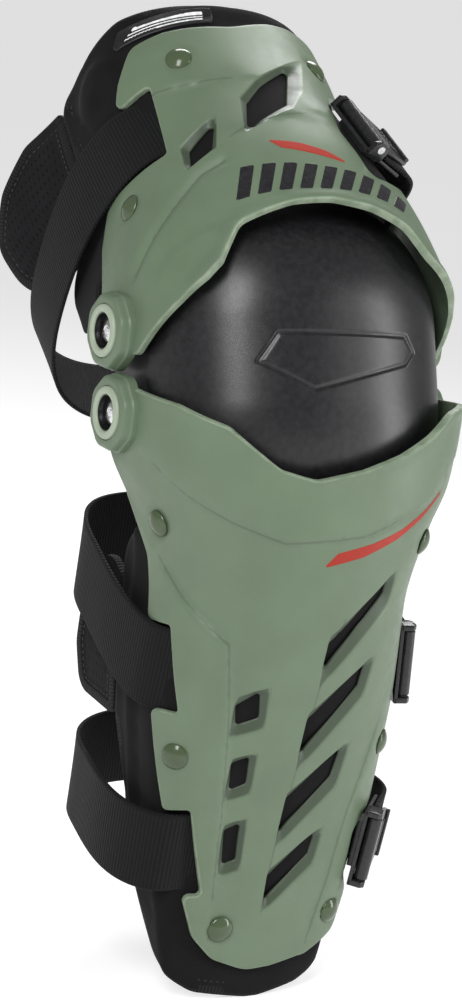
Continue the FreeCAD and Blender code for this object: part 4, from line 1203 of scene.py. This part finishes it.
def soft_sheet(name, half, outline, material, body, node, relief, top=LINER_TOP, back=LINER_BACK,
               bound=True, spacing=3.6, back_relief=None):
    """Padded sheet in place of its CAD node, with a bound, stitched edge when bound is set."""
    piece = sheet_piece(name, half, outline, top, back, material, body, relief=relief,
                        rim=1.6 if bound else 2.8, soft=True, spacing=spacing, replaces=[node], sharp=70)
    if back_relief:
        mesh = piece.data
        half_count = len(mesh.vertices) // 2
        coordinates = np.empty(len(mesh.vertices) * 3)
        mesh.vertices.foreach_get("co", coordinates)
        coordinates = coordinates.reshape(-1, 3)
        loops_uv = np.empty(len(mesh.loops) * 2)
        mesh.uv_layers["pattern"].data.foreach_get("uv", loops_uv)
        index = np.empty(len(mesh.loops), int)
        mesh.loops.foreach_get("vertex_index", index)
        uv = np.zeros((len(mesh.vertices), 2))
        uv[index] = loops_uv.reshape(-1, 2) * 100
        spots = uv[half_count:]
        outward = half.turn(half.normal(spots[:, 0], spots[:, 1]))
        coordinates[half_count:] -= outward * back_relief(spots)[:, None] * MM
        mesh.vertices.foreach_set("co", coordinates.ravel())
        mesh.update()
    if bound:
        binding(name + "_binding", half, outline, top, back, body)
        stitch_row(name + "_stitches", half, inset_loop(rounded(outline), 6.6), top + 0.15, body)
    return piece


def soft_waves(points):
    """The slow unevenness of a sewn soft sheet."""
    s, z = points.T
    return 0.35 * np.sin(s / 13 + z / 29) * np.cos(z / 17 - s / 37) - 0.2


def under_shell(points, outline):
    """0 under a shell, 1 well outside it."""
    loop = rounded(outline)
    distance = side_distance(points, loop, True)[0]
    return np.where(inside(points, loop), 0, smooth(distance / 9))


def shin_liner_relief(points):
    free = under_shell(points, SHIN_OUTLINE)
    ridges = near_line(points, polyline([(-122, -52), (-118, -92), (-104, -146), (-88, -190)]), 5.0, 1.4)
    ridges = ridges + near_line(points, polyline([(122, -52), (118, -92), (104, -146), (88, -190)]), 5.0, 1.4)
    channel = quilt(points, [polyline([(side * 112, -46), (side * 108, -92), (side * 95, -146), (side * 78, -200),
                                       (side * 60, -240)]) for side in (-1, 1)], 2.0, 0.9)
    return soft_waves(points) + free * (0.9 + ridges + channel)


def thigh_liner_relief(points):
    free = under_shell(points, THIGH_OUTLINE)
    cushions = bulge(points, (-88, 134), (22, 13), 3.2, 20) + bulge(points, (88, 134), (22, 13), 3.2, -20)
    cushions = cushions + bulge(points, (0, 150), (64, 5), 1.2)
    channel = quilt(points, [polyline([(side * 112, 148), (side * 106, 120), (side * 118, 92)])
                             for side in (-1, 1)], 2.2, 1.0)
    return soft_waves(points) + free * (0.8 + cushions + channel)


def wing_relief(points):
    return soft_waves(points) * 1.6 + 0.3


def shin_channels(points):
    lines = [polyline([(-70, z), (70, z)], 4.0) for z in (-74, -106, -138, -170, -202)]
    return quilt(points, lines + [polyline([(0, -30), (0, -240)], 4.0)], 4.0, 1.8)


def thigh_channels(points):
    lines = [polyline([(x, 30), (x * 1.05, 116)], 4.0) for x in (-36, 0, 36)]
    return quilt(points, lines, 4.0, 1.8)


def plain(points):
    return np.zeros(len(points))


soft_sheet("shin_liner_neoprene", SHIN, SHIN_LINER_OUTLINE, neoprene, "shin",
           "shin_liner", shin_liner_relief)
soft_sheet("thigh_liner_neoprene", THIGH, THIGH_LINER_OUTLINE, neoprene, "thigh",
           "thigh_liner", thigh_liner_relief)
soft_sheet("shin_pad_foam", SHIN, SHIN_PAD_OUTLINE, foam, "shin", "shin_pad", plain, -7.4,
           PAD_BACK, False, back_relief=shin_channels)
soft_sheet("thigh_pad_foam", THIGH, THIGH_PAD_OUTLINE, foam, "thigh", "thigh_pad", plain, -7.4,
           PAD_BACK, False, back_relief=thigh_channels)
for side_name, flip in (("left", list), ("right", mirrored)):
    soft_sheet("calf_wing_" + side_name + "_flap", SHIN, flip(CALF_WING_OUTLINE), perforated, "shin",
               "calf_wing_" + side_name, wing_relief)
    soft_sheet("thigh_wing_" + side_name + "_flap", THIGH, flip(THIGH_WING_OUTLINE), perforated, "thigh",
               "thigh_wing_" + side_name, wing_relief)


# ---- straps ----
def natural_spline(route):
    """Smooth curve through points, sampled about every 2 mm."""
    route = np.array(route)
    knots = np.append(0, np.cumsum(np.linalg.norm(np.diff(route, axis=0), axis=1)))
    step = np.diff(knots)
    count = len(route)
    system = np.eye(count)
    right = np.zeros((count, 3))
    for i in range(1, count - 1):
        system[i, i - 1:i + 2] = step[i - 1], 2 * (step[i - 1] + step[i]), step[i]
        right[i] = 6 * ((route[i + 1] - route[i]) / step[i] - (route[i] - route[i - 1]) / step[i - 1])
    bend = np.linalg.solve(system, right)
    at = np.linspace(0, knots[-1], int(knots[-1] / 2))
    i = np.clip(np.searchsorted(knots, at, "right") - 1, 0, count - 2)
    h, a, b = step[i][:, None], (knots[i + 1] - at)[:, None], (at - knots[i])[:, None]
    return (bend[i] * a**3 / (6 * h) + bend[i + 1] * b**3 / (6 * h)
            + (route[i] / h - bend[i] * h / 6) * a + (route[i + 1] / h - bend[i + 1] * h / 6) * b)


def unit(vector):
    return vector / np.linalg.norm(vector)


def strap_route(half, strap):
    """The strap's middle line in the half's own frame, and the directions across it at its ends."""
    def seat(spot, lift):
        return half.local(*spot) + half.normal(*spot) * lift

    def up_the_face(spot):
        return unit(half.local(spot[0], spot[1] + 3) - half.local(spot[0], spot[1] - 3))

    contact = (strap["buckle"][0] + strap["contact"], strap["buckle"][1])
    along = unit(np.cross(up_the_face(contact), half.normal(*contact)))
    start = strap["slot"][0]
    route = [seat((start[0] + 13, start[1]), -4.6), seat((start[0] + 7, start[1]), -3.6)]
    route += [seat(spot, rise) for spot, rise in zip(strap["slot"], strap["rise"])]
    first = route[2]
    buckle = [seat(contact, STRAP_ON_BUCKLE) + along * (run - strap["contact"])
              for run in (BUCKLE_LENGTH + 3, BUCKLE_MIDDLE + 4, STRAP_END)]
    loop_points, side_y = 9, 8.0
    for index in range(loop_points):
        angle = math.pi * (index + 0.5) / loop_points
        across = abs(math.cos(angle)) ** (2 / strap["squareness"])
        depth = math.sin(angle) ** (2 / strap["squareness"])
        y = side_y + (strap["back"] - side_y) * depth
        end = first if angle < math.pi / 2 else buckle[-1]
        share = (y - end[1]) / (strap["back"] - end[1])
        route.append(np.array([-math.copysign(strap["half_width"] * across, math.cos(angle)), y,
                               end[2] + (strap["back_height"] - end[2]) * share]))
    route += [seat(spot, STRAP_ON_BUCKLE) for spot in reversed(strap["buckle_side"])] + buckle
    return natural_spline(route), up_the_face(start), up_the_face(contact)


def strap_piece(name, half, strap, body):
    """Woven band following its route, with rounded selvages."""
    line, first_up, last_up = strap_route(half, strap)
    run = np.append(0, np.cumsum(np.linalg.norm(np.diff(line, axis=0), axis=1)))
    along = np.gradient(line, axis=0)
    along /= np.linalg.norm(along, axis=1, keepdims=True)
    edge, thick, level_run = STRAP_WIDTH / 2, 1.0, 60.0
    across = np.linspace(-edge + 0.6, edge - 0.6, 21)
    section = [(v, thick) for v in across] + [(edge - 0.1, 0.6), (edge, 0), (edge - 0.1, -0.6)]
    section += [(v, -thick) for v in across[::-1]] + [(-edge + 0.1, -0.6), (-edge, 0), (-edge + 0.1, 0.6)]
    points, uv = [], []
    for k, place in enumerate(line):
        up = np.array([0.0, 0.0, 1.0])
        for distance, flat_run, lean in ((run[k] - 13, 0.0, first_up),
                                         (run[-1] - run[k], BUCKLE_LENGTH, last_up)):
            share = max(0.0, (distance - flat_run) / level_run)
            if share < 1:
                up = unit(lean * (1 - share) + np.array([0, 0, 1]) * share)
                break
        out = unit(np.cross(up, along[k]))
        for height, lift in section:
            sway = 0.35 * math.sin(run[k] / 31 + height / 14)
            points.append(place + up * height + out * (lift + sway * smooth((run[k] - 30) / 40)
                                                       * smooth((run[-1] - run[k] - 40) / 40)))
            uv.append((run[k], height))
    faces = tube_faces(len(line), len(section))
    faces += [list(range(len(section)))[::-1], [len(points) - len(section) + k for k in range(len(section))]]
    piece = add_piece(name + "_webbing", half.turn(np.array(points)) + half.pivot, faces, strap_black, body,
                      uv, 60, [name], {"edge": np.full(len(points), 5.0)})
    return recalculated(piece)


STRAPS = {"calf_strap": (SHIN, CALF_STRAP, "shin"), "ankle_strap": (SHIN, ANKLE_STRAP, "shin"),
          "thigh_strap": (THIGH, THIGH_STRAP, "thigh")}
for strap_name, (strap_half, strap_spec, strap_body) in STRAPS.items():
    strap_piece(strap_name, strap_half, strap_spec, strap_body)


# ---- rivets ----
def rivet_shape():
    """Domed head whose skirt stands in the shell's dimple."""
    radius, dome = 6.4, 2.4
    sphere = (radius**2 + dome**2) / (2 * dome)
    arc = []
    for k in range(11):
        reach = radius * k / 10
        arc.append((reach, dome - sphere + math.sqrt(sphere**2 - reach**2)))
    return lathe([(0, -1.1), (5.6, -1.1), (6.3, -0.7), (6.5, -0.3)]
                 + [(r, z + 0.05) for r, z in arc[::-1]], 48)


def rivets(name, half, spots, body, node):
    shapes = [placed(rivet_shape(), half.placement(arc, height, 0.1)) for arc, height in spots]
    solid_piece(name, shapes, rivet_olive, body, [node], 40)


rivets("shin_rivet_heads", SHIN, SHIN_RIVETS, "shin", "shin_rivets")
rivets("thigh_rivet_heads", THIGH, THIGH_RIVETS, "thigh", "thigh_rivets")


# ---- buckles: x round the leg along the strap, y across it, z outwards ----
def buckle_frame(half, strap):
    place = half.placement(strap["buckle"][0] + strap["contact"], strap["buckle"][1])
    return place @ Matrix.Translation((-strap["contact"], 0, 0))


def rectangle(x0, x1, y0, y1):
    return [(x0, y0), (x1, y0), (x1, y1), (x0, y1)]


BASE_REAR = -5
BASE_TIP = 22
BASE_HALF = 20
EAR_THICKNESS = 3
LEVER_TIP = 28
LEVER_HALF = 16.6
LEVER_TIP_HALF = 12.6
LEVER_BOTTOM = 5.6
LEVER_TOP = 8.0
HUB_RADIUS = 3.4


def buckle_base_shapes():
    """Floor with a foot under it, ribs under the strap and two ears beside the lever."""
    floor = bevelled_block(rectangle(BASE_REAR, BASE_TIP, -BASE_HALF, BASE_HALF), 0.5, 2.5, 0.6)
    foot = bevelled_block(rectangle(0, 12, -12, 12), -2.4, 0.7, 0.4)
    ribs = [bevelled_block(rectangle(x, x + 1.2, -15, 15), 2.3, 2.9, 0.25) for x in (9, 13, 17)]
    ears = []
    for low in (-BASE_HALF, BASE_HALF - EAR_THICKNESS):
        profile = [(BASE_REAR, 0.8), (5, 0.8), (5, 6.5), (3.2, 8.6), (-2.6, 9.0), (BASE_REAR, 7.2)]
        points, faces = bevelled_block(profile, low, low + EAR_THICKNESS, 0.5)
        ears.append((points[:, [0, 2, 1]], faces))
    return [floor, foot] + ribs + ears


def buckle_lever_shapes():
    """Tapered plate with grip ribs, hub and lifting lip."""
    outline = [(0, -LEVER_HALF), (12, -LEVER_HALF), (LEVER_TIP, -LEVER_TIP_HALF),
               (LEVER_TIP, LEVER_TIP_HALF), (12, LEVER_HALF), (0, LEVER_HALF)]
    plate = bevelled_block(outline, LEVER_BOTTOM, LEVER_TOP, 0.7)
    hub = rod(HUB_RADIUS, (0, -LEVER_HALF, PIN_HEIGHT), (0, LEVER_HALF, PIN_HEIGHT), 28, 0.6)
    lip = bevelled_block(rectangle(25.3, LEVER_TIP, -12.4, 12.4), 7.6, 9.8, 0.6)
    ribs = [bevelled_block(rectangle(x, x + 1.3, -9, 9), 7.7, 8.5, 0.3) for x in (17, 19.6, 22.2)]
    return [plate, hub, lip] + ribs


def buckle_inlay_shapes():
    """Pale insert on top of the lever."""
    insert = bevelled_block([(4, -11), (13, -11), (15, -8), (15, 8), (13, 11), (4, 11)], 7.6, 8.5, 0.35)
    return [insert]


for buckle_name, (buckle_half, buckle_spec, buckle_body) in STRAPS.items():
    part = buckle_name.replace("strap", "buckle")
    matrix = buckle_frame(buckle_half, buckle_spec)
    solid_piece(part + "_base_moulding", [placed(shape, matrix) for shape in buckle_base_shapes()],
                buckle_black, buckle_body, [part + "_base"], 35)
    solid_piece(part + "_lever_moulding", [placed(shape, matrix) for shape in buckle_lever_shapes()],
                buckle_black, part + "_lever", [part + "_lever"], 35)
    solid_piece(part + "_lever_insert", [placed(shape, matrix) for shape in buckle_inlay_shapes()],
                buckle_grey, part + "_lever", sharp=35)


# ---- printed marks ----
def decal(name, half, outline, material, body, relief, base=0.0):
    """Thin print following the relief of the face below it."""
    sheet_piece(name, half, [(s, z, 0.6) for s, z in outline], base + 0.16, base - 0.3, material, body,
                relief=relief, rim=0.2, spacing=2.6, sharp=60)


decal("shin_red_stripe", SHIN, [(-11, -53), (10, -48), (30, -40), (46, -31.5), (60, -21.5), (60, -19.5),
                                (48, -27.5), (32, -35.5), (15, -41.5), (-4, -46)],
      print_red, "shin", shin_relief)
decal("thigh_red_stripe", THIGH, [(-24, 45.5), (-19, 39), (0, 34), (15, 30), (4, 37.5), (-8, 42)],
      print_red, "thigh", thigh_relief)
BAR_COUNT, BAR_PITCH, BAR_WIDTH, BAR_SLANT = 9, 10.4, 6.6, 8.0
for bar in range(BAR_COUNT):
    start = -50 + BAR_PITCH * bar
    corners = []
    for arc, top in ((start, 0), (start + BAR_WIDTH, 0), (start + BAR_WIDTH, 1), (start, 1)):
        foot = 13.0 - 0.0035 * max(0, arc) ** 2
        corners.append((arc + BAR_SLANT * top, foot + top * (18.5 - 0.10 * (arc + 50))))
    decal(f"thigh_print_bar_{bar + 1}", THIGH, corners, print_black, "thigh", thigh_relief)

LABEL_FACE = LINER_TOP + 1.3


def label_relief(points):
    """A raised border round the patch, riding on the liner."""
    edge = side_distance(points, rounded(LABEL_OUTLINE), True)[0]
    return thigh_liner_relief(points) + 0.3 * smooth((1.3 - edge) / 0.5)


sheet_piece("thigh_label_rubber", THIGH, LABEL_OUTLINE, LABEL_FACE, LINER_TOP - 0.6, patch_black, "thigh",
            relief=label_relief, rim=0.5, spacing=2.4, replaces=["thigh_label_patch"])
for stripe, (low, high, start) in enumerate(((0.22, 0.34, 0.12), (0.42, 0.52, 0.14), (0.60, 0.80, 0.17))):
    left_foot, left_top, right_top, right_foot = [np.array(point[:2], float) for point in LABEL_OUTLINE]
    corners = []
    for up, share in ((low, start), (low, 0.90), (high, 0.90), (high, start + 0.02)):
        foot_point = left_foot + (right_foot - left_foot) * share
        top_point = left_top + (right_top - left_top) * share
        corners.append(tuple(foot_point + (top_point - foot_point) * up))
    decal(f"thigh_label_stripe_{stripe + 1}", THIGH, corners, print_white, "thigh",
          label_relief, LABEL_FACE)

# ---- finer materials on the CAD parts that stay ----
KEPT_FINISHES = {
    "shin_rivet_washers": steel, "thigh_rivet_washers": steel, "lower_pivot_pins": steel,
    "upper_pivot_pins": steel, "knee_cup_bushes": nylon, "lower_pivot_washers": nylon,
    "upper_pivot_washers": nylon, "calf_buckle_pin": steel, "ankle_buckle_pin": steel,
    "thigh_buckle_pin": steel}
for node_name, finish in KEPT_FINISHES.items():
    kept = frame["nodes"][node_name]
    for kept_slot in kept.material_slots:
        kept_slot.material = finish


# ---- camera, light and floor ----
RIGHT = Vector((0.8660, -0.4830, 0.1294))
UP = Vector((0.0, 0.2588, 0.9659))
TOWARD = RIGHT.cross(UP)


def place_camera():
    camera = bpy.data.objects.new("camera", bpy.data.cameras.new("camera"))
    bpy.context.scene.collection.objects.link(camera)
    matrix = Matrix((RIGHT, UP, TOWARD)).transposed().to_4x4()
    matrix.translation = RIGHT * -0.01936 + UP * -0.05942 + TOWARD * 1.25
    camera.matrix_world = matrix
    camera.data.lens = 93.75
    camera.data.sensor_width = 36
    camera.data.clip_start = 0.05
    camera.data.sensor_fit = "VERTICAL"
    camera.data.sensor_height = 36
    bpy.context.scene.camera = camera


def area_light(name, place, target, size, power, colour=(1, 1, 1)):
    light = bpy.data.lights.new(name, "AREA")
    light.shape = "RECTANGLE"
    light.size, light.size_y = size
    light.energy = power
    light.color = colour
    lamp = bpy.data.objects.new(name, light)
    bpy.context.scene.collection.objects.link(lamp)
    lamp.location = place
    lamp.rotation_euler = (Vector(target) - Vector(place)).to_track_quat("-Z", "Y").to_euler()


def add_floor():
    low = CAD_BOUNDS[0][2]
    floor_mesh = bpy.data.meshes.new("floor")
    reach = 60.0
    floor_mesh.from_pydata([(-reach, -reach, low), (reach, -reach, low), (reach, reach, low),
                            (-reach, reach, low)], [], [(0, 1, 2, 3)])
    surface = Surface("floor_pale", 0.9)
    surface.set("Base Color", surface.mix(surface.noise(300.0), (0.50, 0.50, 0.50), (0.54, 0.54, 0.54)))
    surface.shader.inputs["Emission Color"].default_value = (1.0, 1.0, 1.0, 1.0)
    surface.shader.inputs["Emission Strength"].default_value = 0.62
    floor_mesh.materials.append(surface.material)
    floor = bpy.data.objects.new("floor", floor_mesh)
    bpy.context.scene.collection.objects.link(floor)


place_camera()
add_floor()
world = bpy.data.worlds.new("studio")
world.use_nodes = True
world.node_tree.nodes["Background"].inputs["Color"].default_value = (1.0, 1.0, 1.0, 1.0)
world.node_tree.nodes["Background"].inputs["Strength"].default_value = 0.22
bpy.context.scene.world = world
bpy.context.scene.view_settings.view_transform = "Standard"
CENTRE = (0, 0, -0.03)
area_light("key", (-0.9, -0.8, 0.9), CENTRE, (0.45, 0.9), 17)
area_light("fill", (0.95, -0.75, 0.25), CENTRE, (0.25, 1.1), 9)
area_light("rim", (0.5, 0.9, 0.9), CENTRE, (0.8, 0.5), 12)
